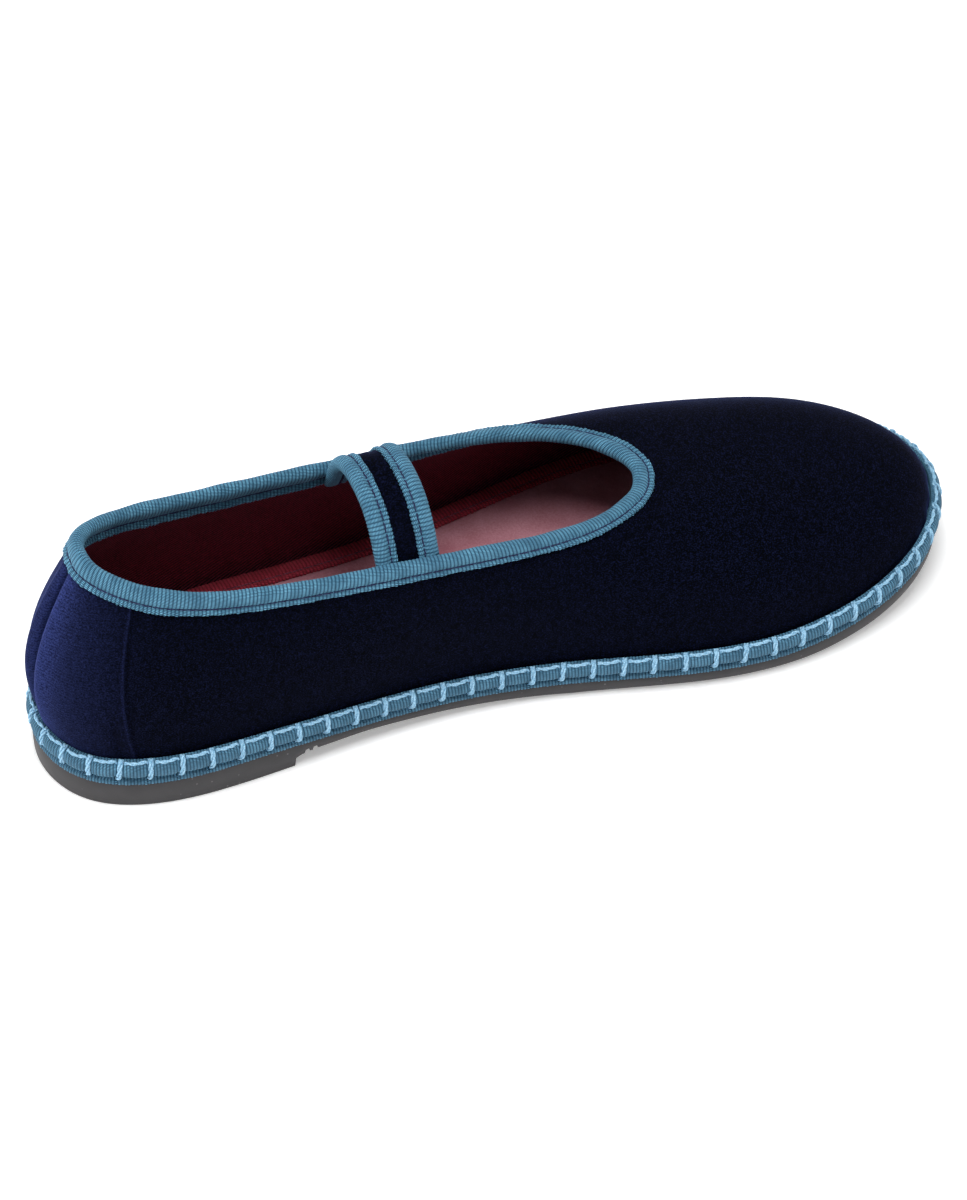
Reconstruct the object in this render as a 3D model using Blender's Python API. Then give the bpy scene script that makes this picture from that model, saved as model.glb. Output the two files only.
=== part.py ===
"""A left mary jane in velvet on a stitched cloth midsole and a rubber outsole.

Metres, +Z up, toe toward -Y, medial (inner) side toward -X. Inside the script sizes are in
millimetres and shoe directions: s runs from heel to toe, n from the axis to the medial side, z up.
"""

import bmesh
import bpy
import numpy as np

# Driving sizes of the last and the sole
LENGTH = 252.0
BALL_WIDTH = 88.0
HEEL_HEIGHT = 68.5
INSTEP_HEIGHT = 44.0
SEAT_HEIGHT = 7.2
TOE_SPRING = 7.0
FIT = 0.3

# Cloth and tape
WALL = 1.6
TAPE = 0.7
COLLAR_TAPE_OUTSIDE = 5.0
COLLAR_TAPE_INSIDE = 6.4
INSOLE_TAPE_WIDTH = 6.5
INSOLE_TAPE_INSET = 0.5
INSOLE_THICKNESS = 2.8
UPPER_INSET = 2.3
INSOLE_INSET = 4.9

# Sewn seam down the heel's back, a trough between the two halves of the velvet
SEAM_DEPTH = 1.3
SEAM_HALF_WIDTH = 2.2

COLLAR_CREST = 1.4
COLLAR_SHOULDER = 0.9
COLLAR_ROUND = 0.5
INSOLE_ROUND = 0.4

# Strap over the instep
STRAP_ALONG = 0.385
STRAP_WIDTH = 15.0
STRAP_THICKNESS = 1.6
STRAP_TAPE = 0.7
STRAP_TAPE_WIDTH = 4.6
STRAP_CROWN = 13.0
STRAP_TUCK = 6.8
STRAP_ROOT_INSET = 3.4
STRAP_LEAN = 0.33
STRAP_RISE = 13.0
STRAP_CROWN_HANDLE = 11.0

# Tread
GROOVE_WIDTH = 2.2
GROOVE_DEPTH = 1.6
GROOVE_BORDER = 8.0
GROOVE_SWEEP = 6.0
HEEL_GROOVES = (15.0, 26.0, 37.0, 48.0)
FOREFOOT_GROOVES = tuple(154.0 + 11.0 * step for step in range(8))
NOTCHES = (64.0, 66.25)
NOTCH_WIDTH = 1.25
NOTCH_DEPTH = 1.1
CUT_REACH = 60.0
CUT_BELOW = -3.0

# Edge of the rubber
RUBBER_ROUND = 0.5
RUBBER_SWELL = 0.15
BEVEL_RUN = 1.2

# Colour, as linear red, green and blue, and roughness of each piece
RUBBER = (0.012, 0.012, 0.014, 0.55)
EDGE_TAPE = (0.07, 0.2, 0.29, 0.8)
VELVET = (0.004, 0.004, 0.014, 0.9)
COLLAR_TAPE = (0.11, 0.34, 0.5, 0.75)
SOCK_LEATHER = (0.1, 0.027, 0.034, 0.7)
SOCK_TAPE = (0.1, 0.007, 0.014, 0.8)
SHARP_ANGLE = 0.6

# Mesh fineness
RUNGS = 40
WALL_STEPS = 12
WALL_SAMPLES = 49
STRAP_STEPS = 12
DENSE = 4000

# Stations round the foot, from the heel's back along the medial side to the toe, then back along
# the lateral side. along and across place the sole's edge, top_along and top_across the collar,
# as shares of LENGTH and BALL_WIDTH; climb runs from INSTEP_HEIGHT to HEEL_HEIGHT. rise and bulge
# are the wall's first handle above its foot, reach and drop its last handle before the collar.
COLUMNS = ("along", "across", "top_along", "top_across", "climb", "rise", "bulge", "reach", "drop")
STATIONS = {
    "heel_back": (0.000, 0.000, 0.058, -0.010, 1.00, 20, 6.2, 10.0, 20),
    "heel_corner_medial": (0.027, 0.216, 0.071, 0.082, 0.92, 19, 5.0, 9.0, 19),
    "heel_side_medial": (0.087, 0.307, 0.112, 0.159, 0.76, 18, 2.6, 7.0, 18),
    "heel_front_medial": (0.179, 0.328, 0.190, 0.205, 0.555, 17, 2.2, 5.5, 16),
    "waist_medial": (0.298, 0.305, 0.302, 0.220, 0.41, 16, 2.0, 5.5, 14),
    "arch_medial": (0.417, 0.297, 0.413, 0.226, 0.32, 16, 1.8, 6.0, 12),
    "instep_medial": (0.536, 0.345, 0.516, 0.218, 0.20, 17, 1.8, 8.0, 8),
    "ball_back_medial": (0.643, 0.428, 0.591, 0.180, 0.09, 18, 1.6, 12.0, 4),
    "ball_medial": (0.746, 0.477, 0.637, 0.117, 0.03, 19, 1.6, 19.0, 3),
    "toe_side_medial": (0.865, 0.434, 0.657, 0.058, 0.00, 18, 1.8, 31.0, 5),
    "toe_corner_medial": (0.955, 0.295, 0.664, 0.013, 0.00, 16, 2.2, 43.0, 8),
    "toe_tip": (1.000, 0.034, 0.665, -0.025, 0.00, 15, 2.4, 48.0, 9),
    "toe_corner_lateral": (0.966, -0.232, 0.661, -0.068, 0.00, 16, 2.2, 43.0, 8),
    "toe_side_lateral": (0.880, -0.418, 0.648, -0.125, 0.01, 18, 1.8, 30.0, 5),
    "ball_lateral": (0.754, -0.508, 0.611, -0.199, 0.06, 19, 1.6, 19.0, 3),
    "ball_back_lateral": (0.635, -0.518, 0.550, -0.250, 0.15, 18, 1.6, 13.0, 4),
    "instep_lateral": (0.516, -0.466, 0.476, -0.268, 0.25, 17, 1.8, 9.0, 8),
    "waist_lateral": (0.397, -0.408, 0.393, -0.262, 0.34, 16, 1.8, 7.0, 12),
    "arch_lateral": (0.278, -0.372, 0.294, -0.250, 0.45, 16, 2.0, 6.0, 14),
    "heel_front_lateral": (0.179, -0.350, 0.190, -0.229, 0.59, 17, 2.4, 5.5, 16),
    "heel_side_lateral": (0.087, -0.308, 0.112, -0.180, 0.78, 18, 4.2, 7.0, 18),
    "heel_corner_lateral": (0.027, -0.192, 0.071, -0.106, 0.93, 19, 7.0, 9.0, 19),
}

# Heights along the foot: of the rubber's top as a share of SEAT_HEIGHT and of the walked-on
# bottom as a share of TOE_SPRING, and of the arch over the floor in millimetres
SEAT_LINE = ((0, 1.0), (0.20, 1.0), (0.30, 0.83), (0.40, 0.67), (0.52, 0.58), (0.64, 0.56), (0.74, 0.57),
             (0.84, 0.76), (0.93, 1.20), (1.0, 1.62))
FLOOR_LINE = ((0, 0), (0.78, 0), (0.86, 0.16), (0.93, 0.52), (1.0, 1.0))
ARCH_LINE = ((61.2, 2.9), (64, 3.4), (70, 3.7), (78, 3.7), (96, 2.6), (116, 1.3), (134, 0.2), (142, -0.4))
EDGE_BEVEL = ((0, 0.4), (0.25, 0.4), (0.5, 1.4), (0.65, 2.2), (1.0, 2.2))

# The midsole's bound edge, from its foot on the rubber to the plate inside: distance outside the
# sole's edge and height above the midsole's underside
MIDSOLE_EDGE = {
    "flange_foot": (-0.4, 0.0),
    "flange_side": (0.1, 1.0),
    "flange_top": (-0.2, 2.0),
    "groove": (-1.1, 2.5),
    "roll_under": (-0.2, 3.2),
    "roll_side": (0.7, 4.8),
    "roll_over": (0.4, 6.6),
    "roll_top": (-0.2, 7.6),
    "lip": (-0.9, 7.7),
    "plate_edge": (-1.6, 5.0),
}
PLATE_HEIGHT = MIDSOLE_EDGE["plate_edge"][1]


def glide(table, where):
    """Heights at the places where, on a smooth curve with no overshoot through the table's rows."""
    x, y = np.array(table, float).T
    gap = np.diff(x)
    slope = np.diff(y) / gap
    same_way = slope[1:] * slope[:-1] > 0
    total = np.where(same_way, slope[1:] + slope[:-1], 1.0)
    inner = np.where(same_way, 2 * slope[1:] * slope[:-1] / total, 0.0)
    tangent = np.concatenate([slope[:1], inner, slope[-1:]])
    where = np.clip(where, x[0], x[-1])
    i = np.clip(np.searchsorted(x, where, "right") - 1, 0, len(gap) - 1)
    t = (where - x[i]) / gap[i]
    return hermite(t, y[i], y[i + 1], tangent[i] * gap[i], tangent[i + 1] * gap[i])


def hermite(t, start, end, start_slope, end_slope):
    """Cubic between two values with the given slopes at its ends."""
    ease = t * t * (3 - 2 * t)
    return start + (end - start) * ease + t * (1 - t) * ((1 - t) * start_slope - t * end_slope)


def bezier(start, first, last, end, t):
    """Cubic curve from start to end with two handles, read at t."""
    return start * (1 - t) ** 3 + 3 * first * t * (1 - t) ** 2 + 3 * last * t ** 2 * (1 - t) + end * t ** 3


def loop_spline(knots, rows, at):
    """Smooth closed curve through rows, one for each knot, read at the given shares of the loop."""
    gap = np.diff(np.append(knots, 1.0))
    before = np.roll(gap, 1)
    jump = (np.roll(rows, -1, 0) - rows) / gap[:, None]
    i = np.arange(len(knots))
    system = np.zeros((len(knots), len(knots)))
    system[i, i] = 2 * (before + gap)
    system[i, i - 1] = gap
    system[i, (i + 1) % len(knots)] = before
    slope = np.linalg.solve(system, 3 * (gap[:, None] * np.roll(jump, 1, 0) + before[:, None] * jump))
    at = np.mod(at, 1.0)
    i = np.searchsorted(knots, at, "right") - 1
    j = (i + 1) % len(knots)
    t = ((at - knots[i]) / gap[i])[:, None]
    return hermite(t, rows[i], rows[j], slope[i] * gap[i][:, None], slope[j] * gap[i][:, None])


class Last:
    """The foot's form: the sole's edge, the collar and the wall between them."""

    def __init__(self):
        table = np.array(list(STATIONS.values()), float)
        column = dict(zip(COLUMNS, table.T))
        climb = column["climb"] * (HEEL_HEIGHT - INSTEP_HEIGHT)
        self.rows = np.column_stack([
            column["along"] * LENGTH, column["across"] * BALL_WIDTH,
            column["top_along"] * LENGTH, column["top_across"] * BALL_WIDTH, INSTEP_HEIGHT + climb,
            column["rise"], column["bulge"], column["reach"], column["drop"]])
        step = np.hypot(*(np.roll(self.rows[:, :2], -1, 0) - self.rows[:, :2]).T)
        self.knots = np.concatenate([[0], np.cumsum(step)[:-1]]) / step.sum()
        around = np.arange(DENSE) / DENSE
        around = around[self.read(around)[:, 0].argmin()] + np.arange(DENSE + 1) / DENSE
        self.fine_edge = self.read(around)[:, :2]
        along = self.fine_edge[:, 0]
        toe = along.argmax()
        rung = along[0] + (along[toe] - along[0]) * (1 - np.cos(np.pi * np.arange(RUNGS + 1) / RUNGS)) / 2
        out = np.interp(rung, along[:toe + 1], around[:toe + 1])
        home = np.interp(rung, along[:toe - 1:-1], around[:toe - 1:-1])
        self.loop = np.concatenate([out, home[-2:0:-1]])
        self.measure_wall()

    def read(self, share):
        """The station columns, in millimetres, at shares of the loop."""
        return loop_spline(self.knots, self.rows, np.asarray(share, float))

    def outward(self, share):
        """Level unit directions out of the sole's edge at shares of the loop."""
        step = 0.5 / DENSE
        along = self.read(share + step)[:, :2] - self.read(share - step)[:, :2]
        along /= np.linalg.norm(along, axis=1)[:, None]
        return np.column_stack([-along[:, 1], along[:, 0]])

    def edge(self, offset):
        """Points offset outward from the sole's edge, as rows of s and n."""
        return self.read(self.loop)[:, :2] + offset * self.outward(self.loop)

    def measure_wall(self):
        """Keep the wall's outer face, its run down from the collar and the way it faces."""
        self.face = self.curves(self.loop)
        steps = np.linalg.norm(np.diff(self.face, axis=0), axis=2)
        self.run = np.concatenate([np.zeros((1, len(self.loop))), np.cumsum(steps, axis=0)])
        turn = 0.5 / DENSE
        round_way = self.curves(self.loop + turn) - self.curves(self.loop - turn)
        facing = np.cross(round_way, np.gradient(self.face, axis=0))
        self.facing = facing / np.linalg.norm(facing, axis=2)[:, :, None]

    def wall(self, depth, drop=0.0, share=0.0):
        """One row of points round the upper, depth inside its outer face.

        The row lies drop millimetres and a share of the whole wall down from the collar; a
        drop below zero carries the wall on past the collar.
        """
        row = np.empty((len(self.loop), 3))
        for i, run in enumerate(self.run.T):
            place = np.interp(drop + share * run[-1], run, np.arange(WALL_SAMPLES))
            low = min(int(place), WALL_SAMPLES - 2)
            part = place - low
            point = self.face[low, i] * (1 - part) + self.face[low + 1, i] * part
            up = self.face[0, i] - self.face[1, i]
            point += up / np.linalg.norm(up) * max(-drop, 0)
            facing = self.facing[low, i] * (1 - part) + self.facing[low + 1, i] * part
            row[i] = point - facing / np.linalg.norm(facing) * depth
        return row

    def curves(self, share):
        """Points of the wall's outer face from collar to foot, as an array of samples by shares by 3."""
        row = self.read(share)
        outward = self.outward(share)
        foot_plan = row[:, :2] - UPPER_INSET * outward
        foot = np.column_stack([foot_plan, seat(foot_plan[:, 0]) + PLATE_HEIGHT + 2 * FIT])
        top = row[:, 2:5]
        rise, bulge, reach, drop = row[:, 5:].T
        away = foot_plan - top[:, :2]
        away /= np.linalg.norm(away, axis=1)[:, None]
        first = foot + np.column_stack([outward * bulge[:, None], rise])
        last = top + np.column_stack([away * reach[:, None], -drop])
        down = np.linspace(0, 1, WALL_SAMPLES)[:, None]
        face = bezier(top, last, first, foot, down[:, :, None])
        at_heel = row[:, 0] < LENGTH / 4
        trough = at_heel * SEAM_DEPTH * np.exp(-(row[:, 1] / SEAM_HALF_WIDTH) ** 2) * 4 * down * (1 - down)
        face[:, :, :2] -= trough[:, :, None] * outward
        return face


def seat(s):
    """Height of the rubber's top at s."""
    return SEAT_HEIGHT * glide(SEAT_LINE, s / LENGTH)


def floor_line(s):
    """Height of the walked-on bottom at s, lifted at the toe."""
    return TOE_SPRING * glide(FLOOR_LINE, s / LENGTH)


def with_height(plan, height):
    """Plan points given heights."""
    return np.column_stack([plan, np.broadcast_to(height, len(plan))])


def ring_faces(rows, size, closed):
    """Quads between neighbouring rows of a loft whose rows are loops."""
    faces = []
    for j in range(rows if closed else rows - 1):
        for i in range(size):
            k = (i + 1) % size
            up = (j + 1) % rows
            faces.append((j * size + i, j * size + k, up * size + k, up * size + i))
    return faces


def ladder_faces(base):
    """Faces across one sole-shaped loop, from its medial points to the lateral ones."""
    size = 2 * RUNGS
    faces = [(base, base + 1, base + size - 1), (base + RUNGS - 1, base + RUNGS, base + RUNGS + 1)]
    for i in range(1, RUNGS - 1):
        faces.append((base + i, base + i + 1, base + size - i - 1, base + size - i))
    return faces


def solid(name, rings, finish, capped=False, closed=False):
    """Solid through rings of points, closed on itself or capped at both ends."""
    size = len(rings[0])
    faces = ring_faces(len(rings), size, closed)
    if capped:
        faces += ladder_faces(0) + ladder_faces(size * (len(rings) - 1))
    return object_from(name, np.concatenate(rings), faces, finish)


def prism(name, outlines, bottom, tops):
    """Closed upright prisms over plan outlines, for cutting."""
    points, faces = [], []
    for outline, top in zip(outlines, tops):
        base, size = len(points), len(outline)
        points += [(s, n, bottom) for s, n in outline] + [(s, n, top) for s, n in outline]
        faces += [tuple(range(base, base + size)), tuple(range(base + size, base + 2 * size))]
        for i in range(size):
            k = (i + 1) % size
            faces.append((base + i, base + k, base + size + k, base + size + i))
    return cutter_from(name, points, faces)


def mesh_from(name, points, faces):
    """Mesh in metres, placed in the shoe's own frame, with its faces turned outward."""
    s, n, z = np.asarray(points, float).T
    work = bmesh.new()
    made = [work.verts.new(p) for p in np.column_stack([-n, -s, z]) / 1000]
    for face in faces:
        work.faces.new([made[i] for i in face])
    bmesh.ops.recalc_face_normals(work, faces=work.faces)
    mesh = bpy.data.meshes.new(name)
    work.to_mesh(mesh)
    work.free()
    return mesh


def cutter_from(name, points, faces):
    """Helper object that cuts and isn't part of the shoe."""
    cutter = bpy.data.objects.new(name, mesh_from(name, points, faces))
    cutter.hide_render = True
    cutter.display_type = "WIRE"
    bpy.context.scene.collection.objects.link(cutter)
    return cutter


def object_from(name, points, faces, finish):
    """One piece of the shoe with its own material."""
    mesh = mesh_from(name, points, faces)
    mesh.shade_smooth()
    mesh.set_sharp_from_angle(angle=SHARP_ANGLE)
    material = bpy.data.materials.new(name)
    material.use_nodes = True
    shader = material.node_tree.nodes["Principled BSDF"]
    shader.inputs["Base Color"].default_value = (*finish[:3], 1)
    shader.inputs["Roughness"].default_value = finish[3]
    shader.inputs["Metallic"].default_value = 0.0
    mesh.materials.append(material)
    piece = bpy.data.objects.new(name, mesh)
    bpy.context.scene.collection.objects.link(piece)
    return piece


def cut(piece, cutter):
    """Take the cutter's shape out of the piece."""
    step = piece.modifiers.new(cutter.name, "BOOLEAN")
    step.operation = "DIFFERENCE"
    step.solver = "EXACT"
    step.object = cutter


def chevron(last, s):
    """Plan outline of one tread groove that points at the toe and stops short of the sole's edge."""
    near = np.abs(last.fine_edge[:, 0] - (s - GROOVE_SWEEP)) < 1.0
    across = last.fine_edge[near, 1]
    medial, lateral = across.max() - GROOVE_BORDER, across.min() + GROOVE_BORDER
    middle = (medial + lateral) / 2
    half = GROOVE_WIDTH / 2
    front = [(s - GROOVE_SWEEP + half, medial), (s + half, middle), (s - GROOVE_SWEEP + half, lateral)]
    return front + [(along - GROOVE_WIDTH, n) for along, n in reversed(front)]


def arch_profile():
    """Side outline of the hollow under the waist, with two notches across it."""
    profile = [(ARCH_LINE[0][0], CUT_BELOW)]
    stops = {s for s, _ in ARCH_LINE}
    for s in NOTCHES:
        stops |= {s, s + NOTCH_WIDTH}
    for s in sorted(stops):
        z = float(glide(ARCH_LINE, np.array([s]))[0])
        if s in NOTCHES:
            profile += [(s, z), (s, z + NOTCH_DEPTH)]
        elif s - NOTCH_WIDTH in NOTCHES:
            profile += [(s, z + NOTCH_DEPTH), (s, z)]
        else:
            profile.append((s, z))
    return profile + [(ARCH_LINE[-1][0], CUT_BELOW)]


def build_outsole(last):
    """Rubber sole with a heel block, hollow waist, treaded forefoot and lifted toe."""
    plan = last.edge(0)
    bevel = glide(EDGE_BEVEL, plan[:, 0] / LENGTH)
    top, low = seat(plan[:, 0]), floor_line(plan[:, 0])
    inward = last.edge(-1) - plan
    rings = [
        with_height(last.edge(-RUBBER_ROUND), top),
        with_height(plan, top - RUBBER_ROUND),
        with_height(last.edge(RUBBER_SWELL), (top + low + bevel) / 2),
        with_height(plan, low + bevel),
        with_height(plan + inward * bevel[:, None] * BEVEL_RUN, low),
    ]
    outsole = solid("outsole", rings, RUBBER, capped=True)
    arch = arch_profile()
    points = [(s, side * CUT_REACH, z) for side in (-1, 1) for s, z in arch]
    size = len(arch)
    faces = [tuple(range(size)), tuple(range(size, 2 * size))]
    faces += [(i, (i + 1) % size, size + (i + 1) % size, size + i) for i in range(size)]
    cut(outsole, cutter_from("waist_cutter", points, faces))
    grooves = HEEL_GROOVES + FOREFOOT_GROOVES
    tops = [float(floor_line(np.array([s]))[0]) + GROOVE_DEPTH for s in grooves]
    cut(outsole, prism("tread_cutter", [chevron(last, s) for s in grooves], CUT_BELOW, tops))


def build_midsole(last):
    """Cloth midsole: a plate inside a bound edge with a flange, a groove and a roll."""
    rings = []
    for offset, height in MIDSOLE_EDGE.values():
        plan = last.edge(offset)
        rings.append(with_height(plan, seat(plan[:, 0]) + FIT + height))
    solid("midsole", rings, EDGE_TAPE, capped=True)


def build_insole(last):
    """Padded sock on the midsole's plate, and the tape sewn round its edge."""
    base = PLATE_HEIGHT + 2 * FIT
    top = INSOLE_THICKNESS
    levels = ((INSOLE_INSET, 0), (INSOLE_INSET, top - INSOLE_ROUND), (INSOLE_INSET + INSOLE_ROUND, top))
    rings = []
    for inset, height in levels:
        plan = last.edge(-inset)
        rings.append(with_height(plan, seat(plan[:, 0]) + base + height))
    solid("insole", rings, SOCK_LEATHER, capped=True)
    under = base + top + FIT
    outer = INSOLE_INSET + INSOLE_TAPE_INSET
    corners = ((outer, 0), (outer, TAPE), (outer + INSOLE_TAPE_WIDTH, TAPE), (outer + INSOLE_TAPE_WIDTH, 0))
    rings = []
    for inset, height in corners:
        plan = last.edge(-inset)
        rings.append(with_height(plan, seat(plan[:, 0]) + under + height))
    solid("insole_tape", rings, SOCK_TAPE, closed=True)


def build_upper(last):
    """Hollow velvet wall from the midsole's plate to the collar."""
    down = np.linspace(0, 1, WALL_STEPS + 1)
    rings = [last.wall(0, share=share) for share in down]
    rings += [last.wall(WALL, share=share) for share in reversed(down)]
    solid("upper", rings, VELVET, closed=True)


def build_collar_binding(last):
    """Tape folded over the collar's edge, clear of the wall on both sides."""
    far, near = FIT + TAPE, FIT
    sides = []
    for width in (COLLAR_TAPE_OUTSIDE, COLLAR_TAPE_INSIDE):
        crown = [(far, COLLAR_SHOULDER), (far - COLLAR_ROUND, -COLLAR_SHOULDER)]
        face = [(far, width), (far, width / 2)] + crown
        back = [(near, width), (near, width / 2), (near, -FIT)]
        sides.append((face, back))
    (outer_face, outer_back), (inner_face, inner_back) = sides
    section = [(-out, drop) for out, drop in outer_face] + [(WALL / 2, -COLLAR_CREST)]
    section += [(WALL + out, drop) for out, drop in reversed(inner_face)]
    section += [(WALL + out, drop) for out, drop in inner_back]
    section += [(-out, drop) for out, drop in reversed(outer_back)]
    rings = [last.wall(depth, drop) for depth, drop in section]
    solid("collar_binding", rings, COLLAR_TAPE, closed=True)


def strap_path(last):
    """Middle line of the strap across the instep, with its facing directions, in n and z."""
    share = np.arange(DENSE) / DENSE
    top = last.read(share)[:, 2:5]
    s = STRAP_ALONG * LENGTH
    near = np.abs(top[:, 0] - s) < 0.5
    medial = top[near & (top[:, 1] > 0)].mean(axis=0)[1:]
    lateral = top[near & (top[:, 1] < 0)].mean(axis=0)[1:]
    crown = (medial + lateral) / 2 + (0, STRAP_CROWN)
    halves = []
    for collar, side in ((medial, 1), (lateral, -1)):
        root = collar + (-side * STRAP_ROOT_INSET, -STRAP_TUCK)
        lift = root + np.array([-side * STRAP_LEAN, 1]) * STRAP_RISE
        handle = crown + (side * STRAP_CROWN_HANDLE, 0)
        halves.append(bezier(root, lift, handle, crown, np.linspace(0, 1, STRAP_STEPS + 1)[:, None]))
    path = np.concatenate([halves[0], halves[1][-2::-1]])
    along = np.gradient(path, axis=0)
    along /= np.linalg.norm(along, axis=1)[:, None]
    return path, np.column_stack([along[:, 1], -along[:, 0]])


def sweep(name, last, section, finish):
    """Solid of one section, rows of across and up, run along the strap's middle line."""
    path, facing = strap_path(last)
    s = STRAP_ALONG * LENGTH
    rings = []
    for across, up in section:
        line = path + facing * up
        rings.append(np.column_stack([np.full(len(line), s + across), line]))
    size = len(path)
    points = np.concatenate(rings)
    faces = []
    for j in range(len(rings)):
        k = (j + 1) % len(rings)
        faces += [(j * size + i, j * size + i + 1, k * size + i + 1, k * size + i) for i in range(size - 1)]
    faces += [tuple(j * size + end for j in range(len(rings))) for end in (0, size - 1)]
    object_from(name, points, faces, finish)


def build_strap(last):
    """Velvet strap with a tape folded over each of its edges."""
    half, thick = STRAP_WIDTH / 2, STRAP_THICKNESS / 2
    velvet = ((-half, -thick), (half, -thick), (half, thick), (-half, thick))
    sweep("strap", last, velvet, VELVET)
    inner, outer = thick + FIT, thick + FIT + STRAP_TAPE
    edge, cover = half + FIT, half - STRAP_TAPE_WIDTH
    rim = edge + STRAP_TAPE
    fold = ((cover, -outer), (edge, -outer), (rim, -thick), (rim, thick), (edge, outer),
            (cover, outer), (cover, inner), (edge, inner), (edge, -inner), (cover, -inner))
    for name, side in (("strap_binding_rear", -1), ("strap_binding_front", 1)):
        sweep(name, last, [(side * across, up) for across, up in fold], COLLAR_TAPE)


def centre_on_floor():
    """Move every piece alike, so that the whole shoe's box is centred over the origin."""
    pieces = list(bpy.context.scene.collection.objects)
    corners = np.array([v.co for piece in pieces if not piece.hide_render for v in piece.data.vertices])
    middle = (corners.min(axis=0) + corners.max(axis=0)) / 2
    for piece in pieces:
        for vertex in piece.data.vertices:
            vertex.co.x -= middle[0]
            vertex.co.y -= middle[1]


def main():
    """Clear the scene and build every piece of the shoe."""
    for old in list(bpy.data.objects):
        bpy.data.objects.remove(old)
    last = Last()
    build_outsole(last)
    build_midsole(last)
    build_insole(last)
    build_upper(last)
    build_collar_binding(last)
    build_strap(last)
    centre_on_floor()


main()
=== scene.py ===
"""Looks of a left mary jane: velvet on a taped, blanket-stitched midsole and a rubber sole.

Sizes are millimetres in the shoe's own directions, s from heel to toe, n toward the inner side and
z up, until a piece is made. Pieces are in metres in the frame's axes, with their place in the mesh.
"""

import logging
from collections.abc import Callable, Sequence
from dataclasses import dataclass, field
from enum import Enum
from functools import partial

import bmesh
import bpy
import numpy as np
from bpy.types import ID, Material, Mesh, Node, NodeSocket, NodeTree, Object
from mathutils import Matrix, Vector
from numpy.typing import NDArray


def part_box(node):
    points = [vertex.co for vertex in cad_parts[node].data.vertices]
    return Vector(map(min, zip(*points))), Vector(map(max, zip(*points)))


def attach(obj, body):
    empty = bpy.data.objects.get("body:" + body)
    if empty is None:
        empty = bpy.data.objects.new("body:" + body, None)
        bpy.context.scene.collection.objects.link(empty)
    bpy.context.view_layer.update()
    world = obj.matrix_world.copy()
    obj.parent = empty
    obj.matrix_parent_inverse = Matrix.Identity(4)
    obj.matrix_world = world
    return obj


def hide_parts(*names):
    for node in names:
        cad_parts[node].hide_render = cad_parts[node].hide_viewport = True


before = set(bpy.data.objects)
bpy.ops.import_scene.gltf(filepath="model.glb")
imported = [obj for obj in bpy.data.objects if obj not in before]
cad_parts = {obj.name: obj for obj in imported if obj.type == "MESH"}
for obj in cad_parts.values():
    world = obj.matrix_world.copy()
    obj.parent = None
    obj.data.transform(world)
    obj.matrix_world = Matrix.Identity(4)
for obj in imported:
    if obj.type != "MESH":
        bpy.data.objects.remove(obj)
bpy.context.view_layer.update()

Points = NDArray[np.float64]
Table = Sequence[tuple[float, float]]
AddNode = Callable[..., Node]
LOG = logging.getLogger("mary_jane")
CLOTH_MAP = "cloth"
FACING = "facing"
# Attribute of light and shade painted on the velvet's pile
PAINTED_NAP_SHADING = "painted_nap_shading"
MM = 0.001

# Kinds of node that recur
MATH = "ShaderNodeMath"
VECTOR = "ShaderNodeVectorMath"
RANGE = "ShaderNodeMapRange"
MIX = "ShaderNodeMix"
NOISE = "ShaderNodeTexNoise"

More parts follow.
